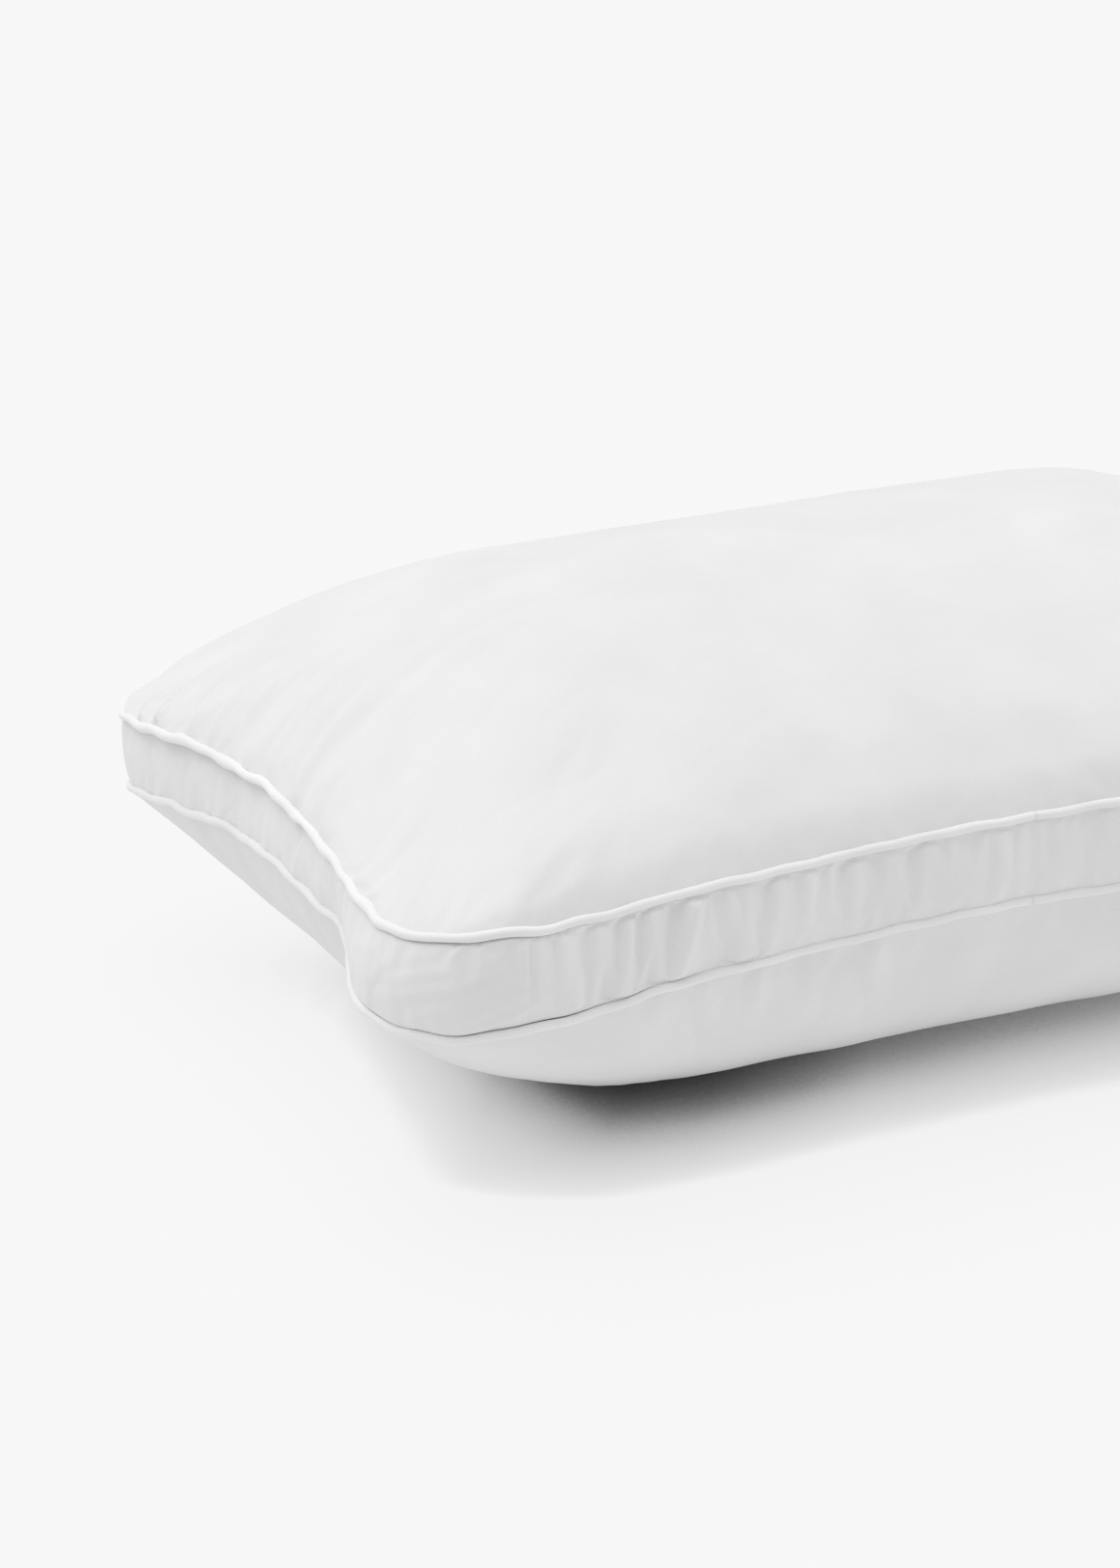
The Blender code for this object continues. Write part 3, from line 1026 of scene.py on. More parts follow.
@dataclass
class PillowPanel:
    """A top or bottom panel: one sheet of percale, crowned by the fill, with its hem turned in."""

    form: PillowForm
    side: Side
    folds: tuple[Fold, ...]
    stations: int = 640
    seam_rows: int = 24
    row_step: float = 3.2 * MM
    corner_inset: float = 0.017
    hem: float = 9.0 * MM
    hem_rows: int = 3
    hem_sink: float = 1.0 * MM
    cloth: float = 0.5 * MM
    pucker: float = 0.35 * MM
    pucker_reach: float = 16 * MM
    pucker_start: float = 6 * MM
    fold_start: float = 8 * MM
    gather_reach: float = 0.035
    gather_base: float = 0.15
    heave: float = 0.9 * MM
    heave_size: float = 0.16
    heave_waves: int = 16
    heave_ease: tuple[float, float] = (0.01, 0.08)
    floor_clear: float = 0.02 * MM
    flat: tuple[float, float] = (0.718, 0.488)
    settling: ClothSettling = field(default_factory=ClothSettling)

    def __post_init__(self) -> None:
        """Splits the stations into the panel's four sides."""
        self.seam = self.form.seams[self.side]
        self.puckers = SeamFolds(self.seam, self.folds)
        corner_x = self.form.half_length - self.corner_inset
        corner_y = self.form.half_depth - self.corner_inset
        first = self.seam.nearest((-corner_x, -corner_y))
        second = self.seam.nearest((corner_x, -corner_y))
        front = (second - first) % self.seam.length
        self.across = round(self.stations * front / self.seam.length)
        self.down = self.stations // 2 - self.across
        self.s = first + np.arange(self.stations) * self.seam.length / self.stations
        self.out = self.seam.outward(self.s)
        self.arcs = np.arange(self.seam_rows) * self.row_step

    def interior(self, ring: np.ndarray) -> np.ndarray:
        """Fills the innermost ring with a grid, by a Coons patch in plan.

        Args:
            ring: the innermost row's points, one for each station.

        Returns:
            The grid's inside points, rows by columns by XYZ, without the ring itself.
        """
        m, n = self.across, self.down
        front = ring[:m + 1]
        right = ring[m:m + n + 1]
        back = ring[m + n:2 * m + n + 1][::-1]
        left = np.concatenate([ring[2 * m + n:], ring[:1]])[::-1]
        u = np.linspace(0, 1, m + 1)[None, :, None]
        v = np.linspace(0, 1, n + 1)[:, None, None]
        patch = ((1 - v) * front[None] + v * back[None] + (1 - u) * left[:, None]
                 + u * right[:, None] - (1 - u) * (1 - v) * front[0] - u * (1 - v) * front[-1]
                 - (1 - u) * v * back[0] - u * v * back[-1])
        return patch[1:-1, 1:-1]

    def on_surface(self, grid: np.ndarray) -> np.ndarray:
        """Drops a grid's points onto the panel's form.

        Args:
            grid: rows by columns by XYZ.

        Returns:
            The grid with the form's heights.
        """
        rows = self.form.rows(self.side, self.s, np.linspace(1, 0, 90))
        flat = rows.reshape(-1, 3)
        tree = BVHTree.FromPolygons(flat.tolist(), rows_to_quads(len(rows), len(self.s), True))
        made = grid.copy()
        for point in made.reshape(-1, 3):
            hit = tree.ray_cast(Vector((point[0], point[1], self.side.value)),
                                Vector((0, 0, -self.side.value)))
            if hit[0] is not None:
                point[2] = hit[0].z
        return made

    def puckered_ring(self) -> np.ndarray:
        """Lays the rows that follow the seam, with the puckers that the sewing gives them.

        Returns:
            Rows by stations by XYZ, from the seam inwards.
        """
        arcs = self.arcs
        ring = self.form.rows(self.side, self.s, self.form.shares_by_arc(self.side, arcs))
        lean = smooth(arcs, 0, 0.05)[:, None, None]
        normal = self.out[None] * (1 - lean * 0.7) + UP * self.side.value * (0.35 + lean)
        normal /= np.linalg.norm(normal, axis=2)[:, :, None]
        gathers = Grain(31 + self.side.value, self.seam.length, 0.030, 0.009, 30)(self.s)
        fade = np.exp(-(arcs / self.pucker_reach)) * smooth(arcs, 0, self.pucker_start)
        folds = self.puckers.lift(self.s, arcs) * smooth(arcs, 0, self.fold_start)[:, None]
        lift = self.pucker * fade[:, None] * gathers[None] + folds
        return ring + normal * lift[:, :, None]

    def build(self) -> bpy.types.Object:
        """Makes the panel's mesh, settles it and gives it its thickness.

        Returns:
            The finished sheet.
        """
        ring = self.puckered_ring()
        grid = self.on_surface(self.interior(ring[-1]))
        depths = np.linspace(self.hem, 0, self.hem_rows + 1)[:-1]
        sink = UP * self.side.value * self.hem_sink
        hem = np.stack([ring[0] - self.out * depth - sink for depth in depths])
        points = np.concatenate([part.reshape(-1, 3) for part in (hem, ring, grid)])
        hem_points = self.hem_rows * self.stations
        self.heave_up(points[hem_points:])
        faces = self.faces(self.hem_rows + self.seam_rows, grid.shape)
        piece = mesh_object(f"{self.side.label}_panel_cloth", points,
                            [face[::self.side.value] for face in faces])
        level = self.out[:, :2]
        laid = [ring[-1][:, :2] + level * (self.arcs[-1] - arc) for arc in self.arcs]
        laid_hem = [laid[0] + level * depth for depth in depths]
        write_weave(piece.data, np.concatenate(laid_hem + laid + [grid.reshape(-1, 3)[:, :2]]))
        held = np.zeros(len(points))
        held[:hem_points + self.stations] = 1
        spare = np.zeros(len(points))
        gathered = (np.exp(-self.arcs / self.gather_reach)[:, None]
                    * self.puckers.spare(self.s, self.gather_base)[None])
        spare[hem_points:][:gathered.size] = gathered.ravel()
        self.settling.settle(piece, held, spare)
        if self.side is Side.BOTTOM:
            self.rest_on_floor(piece)
        thicken(piece, self.cloth)
        return piece

    def rest_on_floor(self, piece: bpy.types.Object) -> None:
        """Keeps every point of the sheet above the floor."""
        points = read_points(piece.data)
        points[:, 2] = np.maximum(points[:, 2], self.floor_clear)
        write_points(piece.data, points)

    def heave_up(self, points: np.ndarray) -> None:
        """Lets the fill's slow lumps show through the cloth, away from the seam and the floor.

        Args:
            points: the panel's points without its hem, which are moved in place.
        """
        draw = np.random.default_rng(51 + self.side.value)
        near = np.minimum(self.form.half_length - np.abs(points[:, 0]),
                          self.form.half_depth - np.abs(points[:, 1]))
        ease = smooth(near, *self.heave_ease) * (points[:, 2] > 4 * MM)
        total = np.zeros(len(points))
        for _ in range(self.heave_waves):
            wave = draw.normal(0, 1, 2) * 2 * math.pi / self.heave_size
            total += np.sin(points[:, :2] @ wave + draw.uniform(0, 2 * math.pi))
        points[:, 2] += total / math.sqrt(self.heave_waves) * self.heave * ease

    def faces(self, rows: int, grid: tuple[int, ...]) -> list[tuple[int, ...]]:
        """Quads of the hem, the ring and the grid that fills it.

        Args:
            rows: the number of rows that run around the panel.
            grid: the shape of the inside grid.

        Returns:
            Vertex numbers of each face, facing up.
        """
        faces = rows_to_quads(rows, self.stations, True)
        m, n = self.across, self.down
        last = (rows - 1) * self.stations
        number = np.empty((n + 1, m + 1), int)
        number[0] = last + np.arange(m + 1)
        number[:, m] = last + m + np.arange(n + 1)
        number[n] = (last + m + n + np.arange(m + 1))[::-1]
        number[:, 0] = (last + 2 * m + n + np.arange(n + 1))[::-1]
        number[0, 0] = last
        number[1:-1, 1:-1] = rows * self.stations + np.arange(grid[0] * grid[1]).reshape(grid[:2])
        for row in range(n):
            for column in range(m):
                faces.append((number[row, column], number[row, column + 1],
                              number[row + 1, column + 1], number[row + 1, column]))
        return faces


@dataclass(frozen=True)
class Tuck:
    """A stretch where the strip's edge is drawn in behind the piping, or stands off it."""

    place: tuple[float, float]
    span: float
    inward: float
    apart: float


@dataclass(frozen=True)
class Belly:
    """A stretch where the fill pushes the middle of the strip out."""

    place: tuple[float, float]
    span: float
    swell: float


@dataclass
class GussetStrip:
    """One strip of the gusset band, between the two piped seams, with its hems turned in."""

    form: PillowForm
    name: str
    start: float
    end: float
    folds: dict[Side, tuple[Fold, ...]]
    step: float = 1.4 * MM
    band_rows: int = 26
    crowding: float = 0.4
    crowding_turn: float = 0.999 * math.pi
    hem: float = 9.0 * MM
    hem_shares: tuple[float, ...] = (1.0, 0.66, 0.33)
    end_shares: tuple[float, ...] = (1.0, 0.5)
    join_gap: float = 0.3 * MM
    bulge: float = 2.6 * MM
    bellies: tuple[Belly, ...] = (Belly((-0.325, -0.211), 0.05, 4.0 * MM),)
    edge_out: float = 3.0 * MM
    edge_gap: float = 1.9 * MM
    top_tucks: tuple[Tuck, ...] = (
        Tuck((-0.322, -0.215), 0.055, 0.4 * MM, 0.9 * MM),
        Tuck((-0.324, 0.020), 0.100, 4.6 * MM, 0.2 * MM),
        Tuck((-0.334, 0.145), 0.045, 4.0 * MM, 0.3 * MM))
    bottom_tucks: tuple[Tuck, ...] = (
        Tuck((-0.322, -0.215), 0.070, 0.4 * MM, 0.5 * MM),
        Tuck((-0.240, -0.225), 0.070, 0.7 * MM, 0.4 * MM))
    cloth: float = 0.5 * MM
    pucker: float = 0.5 * MM
    pucker_reach: float = 10 * MM
    pucker_start: float = 4 * MM
    edge_ease: float = 0.08
    gather_base: float = 0.2
    crinkle: float = 0.32 * MM
    crinkle_waves: int = 20
    crinkle_place: tuple[float, float] = (-0.326, -0.210)
    crinkle_span: float = 0.045
    crease_start: float = 3 * MM
    settling: ClothSettling = field(default_factory=ClothSettling)

    def __post_init__(self) -> None:
        """Measures the strip between its two ends and places its two sewn edges."""
        self.top, self.bottom = (SeamFolds(self.form.seams[side], self.folds[side])
                                 for side in (Side.TOP, Side.BOTTOM))
        seam, lower_seam = self.top.seam, self.bottom.seam
        length = (self.end - self.start) % seam.length
        self.s = self.start + np.linspace(0, length, round(length / self.step) + 1)
        self.out = seam.outward(self.s)
        lower_line = lower_seam.line(self.s * lower_seam.length / seam.length)
        self.upper = self.edge(seam.line(self.s), -UP, self.top_tucks)
        self.lower = self.edge(lower_line, UP, self.bottom_tucks)
        even = np.linspace(0, 1, self.band_rows + 1)
        crowded = 0.5 - 0.5 * np.cos(even * self.crowding_turn)
        crowded = (crowded - crowded[0]) / (crowded[-1] - crowded[0])
        self.w = (1 - self.crowding) * even + self.crowding * crowded
        self.height = float(np.mean(self.upper[:, 2] - self.lower[:, 2]))
        self.flat = (length + 2 * self.hem, self.height + 2 * self.hem)

    def edge(self, line: np.ndarray, away: np.ndarray, tucks: Sequence[Tuck]) -> np.ndarray:
        """Places one sewn edge of the strip against the piping.

        Args:
            line: the seam line.
            away: the upright direction from the seam into the strip.
            tucks: the stretches where the edge is drawn in.

        Returns:
            The edge's points.
        """
        reach = np.full(len(self.s), self.edge_out)
        gap = np.full(len(self.s), self.edge_gap)
        for tuck in tucks:
            bell = np.exp(-(self.top.seam.past(tuck.place, self.s) / tuck.span) ** 4)
            reach = reach - tuck.inward * bell
            gap = gap + tuck.apart * bell
        return line + self.out * reach[:, None] + away * gap[:, None]

    def lift(self) -> np.ndarray:
        """Adds up how far the puckers, folds and crinkles stand off the strip.

        Returns:
            The height, rows by stations.
        """
        total = np.zeros((len(self.w), len(self.s)))
        for folds, rise, seed in ((self.top, self.w * self.height, 41),
                                  (self.bottom, (1 - self.w) * self.height, 42)):
            gathers = Grain(seed, self.top.seam.length, 0.034, 0.010, 30)(self.s)
            start = smooth(rise, 0, self.pucker_start)
            fade = np.exp(-rise / self.pucker_reach) * start
            total += self.pucker * fade[:, None] * gathers[None]
            total += folds.lift(self.s, rise) * start[:, None]
        total += self.crinkles()
        return total * smooth(np.minimum(self.w, 1 - self.w), 0, self.edge_ease)[:, None]

    def crinkles(self) -> np.ndarray:
        """Draws fine level creases where the strip turns the near left corner.

        Returns:
            Their height, rows by stations.
        """
        draw = np.random.default_rng(61)
        rise = self.w * self.height
        total = np.zeros((len(rise), len(self.s)))
        for _ in range(self.crinkle_waves):
            slow = 2 * math.pi / draw.uniform(0.022, 0.050)
            fast = 2 * math.pi / draw.uniform(0.007, 0.015)
            total += np.sin(slow * self.s[None] + fast * rise[:, None]
                            + draw.uniform(0, 2 * math.pi))
        near = hump(self.top.seam.past(self.crinkle_place, self.s), self.crinkle_span)
        return self.crinkle * total / 4 * near

    def belly(self) -> np.ndarray:
        """How far the fill pushes the strip out, rows by stations."""
        arch = np.sin(math.pi * self.w)[:, None]
        total = self.bulge * arch ** 0.7 * np.ones(len(self.s))
        for belly in self.bellies:
            near = hump(self.top.seam.past(belly.place, self.s), belly.span)
            total = total + belly.swell * near * arch ** 0.5
        return total

    def build(self) -> bpy.types.Object:
        """Makes the strip's mesh, settles it and gives it its thickness.

        Returns:
            The finished strip.
        """
        w = self.w[:, None, None]
        band = (self.upper[None] * (1 - w) + self.lower[None] * w
                + self.out[None] * (self.belly() + self.lift())[:, :, None])
        turned = np.array(self.hem_shares) * self.hem
        rows = self.turn_ends(np.stack([band[0] - self.out * depth for depth in turned]
                                       + list(band)
                                       + [band[-1] - self.out * depth for depth in turned[::-1]]))
        faces = [face[::-1] for face in rows_to_quads(*rows.shape[:2], False)]
        piece = mesh_object(f"{self.name}_cloth", rows.reshape(-1, 3), faces)
        ends = np.array(self.end_shares) * self.hem
        along = np.concatenate([self.s[0] - ends, self.s, self.s[-1] + ends[::-1]])
        up = np.concatenate([self.height + turned, self.height * (1 - self.w), -turned[::-1]])
        write_weave(piece.data, np.stack(np.meshgrid(along, up), 2).reshape(-1, 2))
        inside = (slice(len(turned), -len(turned)), slice(len(ends), -len(ends)))
        held = np.ones(rows.shape[:2])
        held[inside][1:-1, 1:-1] = 0
        spare = np.zeros(rows.shape[:2])
        share = smooth(self.w, 0.15, 0.85)[:, None]
        spare[inside] = (self.top.spare(self.s, self.gather_base) * (1 - share)
                         + self.bottom.spare(self.s, self.gather_base) * share)
        self.settling.settle(piece, held.ravel(), spare.ravel())
        self.press_creases(piece, rows.shape, inside)
        thicken(piece, self.cloth)
        return piece

    def press_creases(self, piece: bpy.types.Object, shape: tuple[int, ...],
                      inside: tuple[slice, slice]) -> None:
        """Presses the sharp valleys of the folds into the settled strip.

        Args:
            piece: the settled strip.
            shape: its rows by stations by XYZ.
            inside: the rows and stations that aren't turned in.
        """
        points = read_points(piece.data).reshape(shape)
        rise = self.w * self.height
        depth = self.top.valleys(self.s, rise) + self.bottom.valleys(self.s, rise[::-1])
        ease = smooth(np.minimum(rise, rise[::-1]), 0, self.crease_start)
        points[inside] -= self.out[None] * (depth * ease[:, None])[:, :, None]
        write_points(piece.data, points)

    def turn_ends(self, rows: np.ndarray) -> np.ndarray:
        """Turns the strip's two ends in, for the upright join to the other strip.

        Args:
            rows: the strip's rows by stations by XYZ.

        Returns:
            The rows with the turned stations added at both ends.
        """
        inward = self.out[[0, -1]]
        forward = np.stack([-inward[:, 1], inward[:, 0], inward[:, 2]], 1)
        rows = rows.copy()
        rows[:, 0] += forward[0] * self.join_gap
        rows[:, -1] -= forward[1] * self.join_gap
        ends = np.array(self.end_shares) * self.hem
        first = [rows[:, 0] - inward[0] * depth for depth in ends]
        last = [rows[:, -1] - inward[1] * depth for depth in ends[::-1]]
        return np.concatenate([np.stack(first, 1), rows, np.stack(last, 1)], 1)


# --------------------------------------------------------------- what follows the seams


class PathTree(TreeMaker):
    """A Geometry Nodes tree with named inputs and a curve made from the path."""

    def __init__(self, name: str):
        """Starts the tree with its geometry input and the curve made from the path mesh.

        Args:
            name: the tree's name.
        """
        super().__init__(bpy.data.node_groups.new(name, "GeometryNodeTree"))
        self.sockets: dict[str, str] = {}
        self.given = self.node("NodeGroupInput")
        self.tree.interface.new_socket("Path", in_out="INPUT", socket_type="NodeSocketGeometry")
        self.tree.interface.new_socket("Piece", in_out="OUTPUT", socket_type="NodeSocketGeometry")
        self.curve = self.node("GeometryNodeMeshToCurve",
                               links={"Mesh": self.given.outputs["Path"]}).outputs[0]

    def input(self, name: str, kind: str) -> bpy.types.NodeSocket:
        """Adds a named input.

        Args:
            name: the input's name.
            kind: Float, Int, Object or Material.

        Returns:
            The socket that gives the input's value.
        """
        item = self.tree.interface.new_socket(name, in_out="INPUT",
                                              socket_type=f"NodeSocket{kind}")
        self.sockets[name] = item.identifier
        return next(out for out in self.given.outputs if out.identifier == item.identifier)

    def close(self, geometry: bpy.types.NodeSocket) -> None:
        """Ends the tree in Realize Instances, smooth shading and Set Material.

        Args:
            geometry: the piece as built so far.
        """
        whole = self.node("GeometryNodeRealizeInstances", links={0: geometry})
        shaded = self.node("GeometryNodeSetShadeSmooth", None, {"Shade Smooth": True},
                           {"Geometry": whole.outputs[0]})
        dressed = self.node("GeometryNodeSetMaterial",
                            links={"Geometry": shaded.outputs[0],
                                   "Material": self.input("Finish", "Material")})
        self.node("NodeGroupOutput", links={0: dressed.outputs[0]})

    def run(self, piece: bpy.types.Object, values: dict) -> bpy.types.Object:
        """Runs the tree on a path object and leaves the plain mesh that it makes.

        Args:
            piece: the path object.
            values: the value of each named input.

        Returns:
            The same object, with its new mesh.
        """
        maker = piece.modifiers.new("maker", "NODES")
        maker.node_group = self.tree
        for name, value in values.items():
            maker[self.sockets[name]] = value
        apply_modifiers(piece)
        return piece


def path_object(name: str, points: np.ndarray, closed: bool,
                girth: np.ndarray | None = None) -> bpy.types.Object:
    """Makes a chain of edges that a Geometry Nodes tree turns into a piece.

    Args:
        name: the piece's name.
        points: the path's points.
        closed: whether the path is a loop.
        girth: the piece's thickness at each point, as a share.

    Returns:
        The path object.
    """
    count = len(points)
    edges = [(i, (i + 1) % count) for i in range(count if closed else count - 1)]
    mesh = bpy.data.meshes.new(name)
    mesh.from_pydata(points.tolist(), edges, [])
    if girth is not None:
        layer = mesh.attributes.new("girth", "FLOAT", "POINT")
        layer.data.foreach_set("value", girth.astype(np.float32))
    return new_object(name, mesh)


@dataclass
class Piping:
    """A piped edge: bias tape folded around a plied cotton cord, its flanges sewn in the seam."""

    seam: SeamLine
    lumps: tuple[Lump, ...] = ()
    join: tuple[float, float] | None = None
    tube: float = 2.35 * MM
    flange: float = 9.0 * MM
    flange_half: float = 0.5 * MM
    tape: float = 0.4 * MM
    step: float = 1.6 * MM
    profile_step: float = 15.0
    looseness: float = 0.04
    end_looseness: float = 0.05
    end_growth: float = 0.06
    join_lap: float = 14 * MM
    join_growth: float = 0.30
    wrinkle: float = 0.18 * MM
    wrinkle_size: float = 7.0 * MM
    cord: float = 1.5 * MM
    plies: int = 3
    ply_depth: float = 0.12
    twist: float = 9.0 * MM

    def __post_init__(self) -> None:
        """Sets the stations along the seam and the tape's flat size."""
        count = round(self.seam.length / self.step)
        self.s = np.linspace(0, self.seam.length, count, endpoint=False)
        self.flat = (self.seam.length, 2 * self.flange + 2 * math.pi * self.tube)

    def girth(self) -> np.ndarray:
        """Finds the tape's thickness along the seam: sewn tight here and loose there.

        Returns:
            A share for each station.
        """
        slow = Grain(61 + self.seam.side.value, self.seam.length, 0.12, 0.02)(self.s)
        plan = self.seam.plain(self.s)
        left = self.seam.on_left_end(plan)
        girth = 1 + (self.looseness + self.end_looseness * left) * slow + self.end_growth * left
        for lump in self.lumps:
            girth = girth + lump.growth * lump.share(plan)
        if self.join is not None:
            along = self.s - self.seam.nearest(self.join)
            lap = np.clip(1 + along / self.join_lap, 0, 1) * (along < 0)
            girth = girth + self.join_growth * lap
        return girth

    def section(self) -> bpy.types.Object:
        """Draws the folded tape's section: two flanges and the turn around the cord.

        Returns:
            The curve object.
        """
        lift = math.asin(self.flange_half / self.tube)
        angles = np.arange(-math.pi + lift, math.pi - lift, math.radians(self.profile_step))
        turn = np.stack([np.cos(angles), np.sin(angles)], 1) * self.tube
        root = -self.tube * math.cos(lift)
        edge, middle = root - self.flange, root - self.flange / 2
        low, high = -self.flange_half, self.flange_half
        points = [(edge, low), (middle, low), *turn, (middle, high), (edge, high)]
        curve = bpy.data.curves.new("tape_section", "CURVE")
        curve.dimensions = "3D"
        spline = curve.splines.new("POLY")
        spline.points.add(len(points) - 1)
        for target, (x, y) in zip(spline.points, points):
            target.co = (x, y, 0, 1)
        return new_object("tape_section", curve)

    def cover_tree(self) -> PathTree:
        """Sweeps a section along the path, stores the weave and wrinkles the surface.

        Returns:
            The tree, with the inputs Section, Wrinkle depth, Wrinkle size and Finish.
        """
        path = PathTree("piping tape")
        section = path.input("Section", "Object")
        depth = path.input("Wrinkle depth", "Float")
        size = path.input("Wrinkle size", "Float")
        length = path.node("GeometryNodeSplineParameter").outputs["Length"]
        shape = path.node("GeometryNodeObjectInfo", links={"Object": section})
        held = []
        for name, curve in (("Along", path.curve), ("Around", shape.outputs["Geometry"])):
            kept = path.node("GeometryNodeCaptureAttribute", {"domain": "POINT"}, links={0: curve})
            kept.capture_items.new("FLOAT", name)
            path.tree.links.new(length, kept.inputs[1])
            held.append(kept)
        level = path.node("GeometryNodeSetCurveNormal", {"mode": "Z_UP"},
                          links={"Curve": held[0].outputs[0]})
        girth = path.node("GeometryNodeInputNamedAttribute", {"data_type": "FLOAT"},
                          {"Name": "girth"})
        swept = path.node("GeometryNodeCurveToMesh",
                          links={"Curve": level.outputs[0], "Profile Curve": held[1].outputs[0],
                                 "Scale": girth.outputs[0]})
        flat = path.node("ShaderNodeCombineXYZ", links={0: held[0].outputs[1],
                                                        1: held[1].outputs[1]})
        drawn = path.node("GeometryNodeStoreNamedAttribute",
                          {"data_type": "FLOAT_VECTOR", "domain": "POINT"}, {"Name": WEAVE},
                          {"Geometry": swept.outputs[0], "Value": flat.outputs[0]})
        place = path.node("ShaderNodeVectorMath", {"operation": "DIVIDE"},
                          links={0: flat.outputs[0], 1: size})
        noise = path.node("ShaderNodeTexNoise", None, {"Scale": 1.0, "Detail": 2.0},
                          {"Vector": place.outputs[0]})
        swing = path.node("ShaderNodeMath", {"operation": "SUBTRACT"}, {1: 0.5},
                          {0: noise.outputs["Fac"]})
        sized = path.node("ShaderNodeMath", {"operation": "MULTIPLY"},
                          links={0: swing.outputs[0], 1: depth})
        normal = path.node("GeometryNodeInputNormal")
        push = path.node("ShaderNodeVectorMath", {"operation": "SCALE"},
                         links={0: normal.outputs[0], "Scale": sized.outputs[0]})
        moved = path.node("GeometryNodeSetPosition",
                          links={"Geometry": drawn.outputs[0], "Offset": push.outputs[0]})
        path.close(moved.outputs[0])
        return path

    def build_cover(self, finish: bpy.types.Material) -> bpy.types.Object:
        """Sweeps the tape along the seam, with the small wrinkles that bias tape has.

        Args:
            finish: the tape's finish.

        Returns:
            The finished tape.
        """
        section = self.section()
        piece = path_object(f"{self.seam.side.label}_piping_tape", self.seam.cord_line(self.s),
                            True, self.girth())
        self.cover_tree().run(piece, {"Section": section, "Wrinkle depth": 2 * self.wrinkle,
                                      "Wrinkle size": self.wrinkle_size, "Finish": finish})
        bpy.data.objects.remove(section)
        thicken(piece, self.tape)
        return piece

    def cord_tree(self) -> PathTree:
        """Sweeps a lobed ring along the path while it turns, as plied cord does.

        Returns:
            The tree, with the inputs Radius, Turns, Plies, Ply depth and Finish.
        """
        path = PathTree("piping cord")
        radius = path.input("Radius", "Float")
        turns = path.input("Turns", "Float")
        plies = path.input("Plies", "Float")
        depth = path.input("Ply depth", "Float")
        ring = path.node("GeometryNodeCurvePrimitiveCircle", {"mode": "RADIUS"},
                         {"Resolution": 18}, {"Radius": radius})
        factor = path.node("GeometryNodeSplineParameter").outputs["Factor"]
        lobes = path.node("ShaderNodeMath", {"operation": "MULTIPLY"},
                          links={0: factor, 1: plies})
        wave = path.node("ShaderNodeMath", {"operation": "COSINE"}, links={0: lobes.outputs[0]})
        crest = path.node("ShaderNodeMath", {"operation": "SUBTRACT"}, {1: 1.0},
                          {0: wave.outputs[0]})
        share = path.node("ShaderNodeMath", {"operation": "MULTIPLY_ADD"}, {2: 1.0},
                          {0: crest.outputs[0], 1: depth})
        where = path.node("GeometryNodeInputPosition")
        pulled = path.node("ShaderNodeVectorMath", {"operation": "SCALE"},
                           links={0: where.outputs[0], "Scale": share.outputs[0]})
        plied = path.node("GeometryNodeSetPosition",
                          links={"Geometry": ring.outputs[0], "Position": pulled.outputs[0]})
        angle = path.node("ShaderNodeMath", {"operation": "MULTIPLY"},
                          links={0: factor, 1: turns})
        twisted = path.node("GeometryNodeSetCurveTilt",
                            links={"Curve": path.curve, "Tilt": angle.outputs[0]})
        swept = path.node("GeometryNodeCurveToMesh",
                          links={"Curve": twisted.outputs[0], "Profile Curve": plied.outputs[0]})
        path.close(swept.outputs[0])
        return path

    def build_cord(self, finish: bpy.types.Material) -> bpy.types.Object:
        """Lays the plied cord that lies inside the tape.

        Args:
            finish: the cord's finish.

        Returns:
            The finished cord.
        """
        piece = path_object(f"{self.seam.side.label}_cotton_cord", self.seam.cord_line(self.s),
                            True)
        turns = round(self.seam.length / self.twist)
        return self.cord_tree().run(piece, {"Radius": self.cord, "Turns": 2 * math.pi * turns,
                                            "Plies": 2 * math.pi * self.plies,
                                            "Ply depth": self.ply_depth, "Finish": finish})


@dataclass
class StitchLine:
    """A line of machine stitches: short threads laid end to end along a path."""

    name: str
    points: np.ndarray
    closed: bool
    pitch: float = 2.8 * MM
    thread: float = 0.32 * MM

    def build(self, finish: bpy.types.Material) -> bpy.types.Object:
        """Lays one plump stitch at each pitch, turned along the path.

        Args:
            finish: the thread's finish.

        Returns:
            The finished stitches.
        """
        path = PathTree(f"{self.name} stitches")
        pitch = path.input("Pitch", "Float")
        thread = path.input("Thread", "Float")
        spaced = path.node("GeometryNodeResampleCurve", {"mode": "LENGTH"},
                           links={"Curve": path.curve, "Length": pitch})
        ball = path.node("GeometryNodeMeshUVSphere", None,
                         {"Segments": 8, "Rings": 6, "Radius": 1.0})
        way = path.node("GeometryNodeInputTangent")
        turn = path.node("FunctionNodeAlignRotationToVector", {"axis": "X"},
                         links={"Vector": way.outputs[0]})
        # A little under half a pitch each way leaves a gap where the needle went in.
        half = path.node("ShaderNodeMath", {"operation": "MULTIPLY"}, {1: 0.46}, {0: pitch})
        size = path.node("ShaderNodeCombineXYZ", links={0: half.outputs[0], 1: thread, 2: thread})
        laid = path.node("GeometryNodeInstanceOnPoints",
                         links={"Points": spaced.outputs[0], "Instance": ball.outputs[0],
                                "Rotation": turn.outputs[0], "Scale": size.outputs[0]})
        path.close(laid.outputs[0])
        piece = path_object(self.name, self.points, self.closed)
        return path.run(piece, {"Pitch": self.pitch, "Thread": self.thread, "Finish": finish})


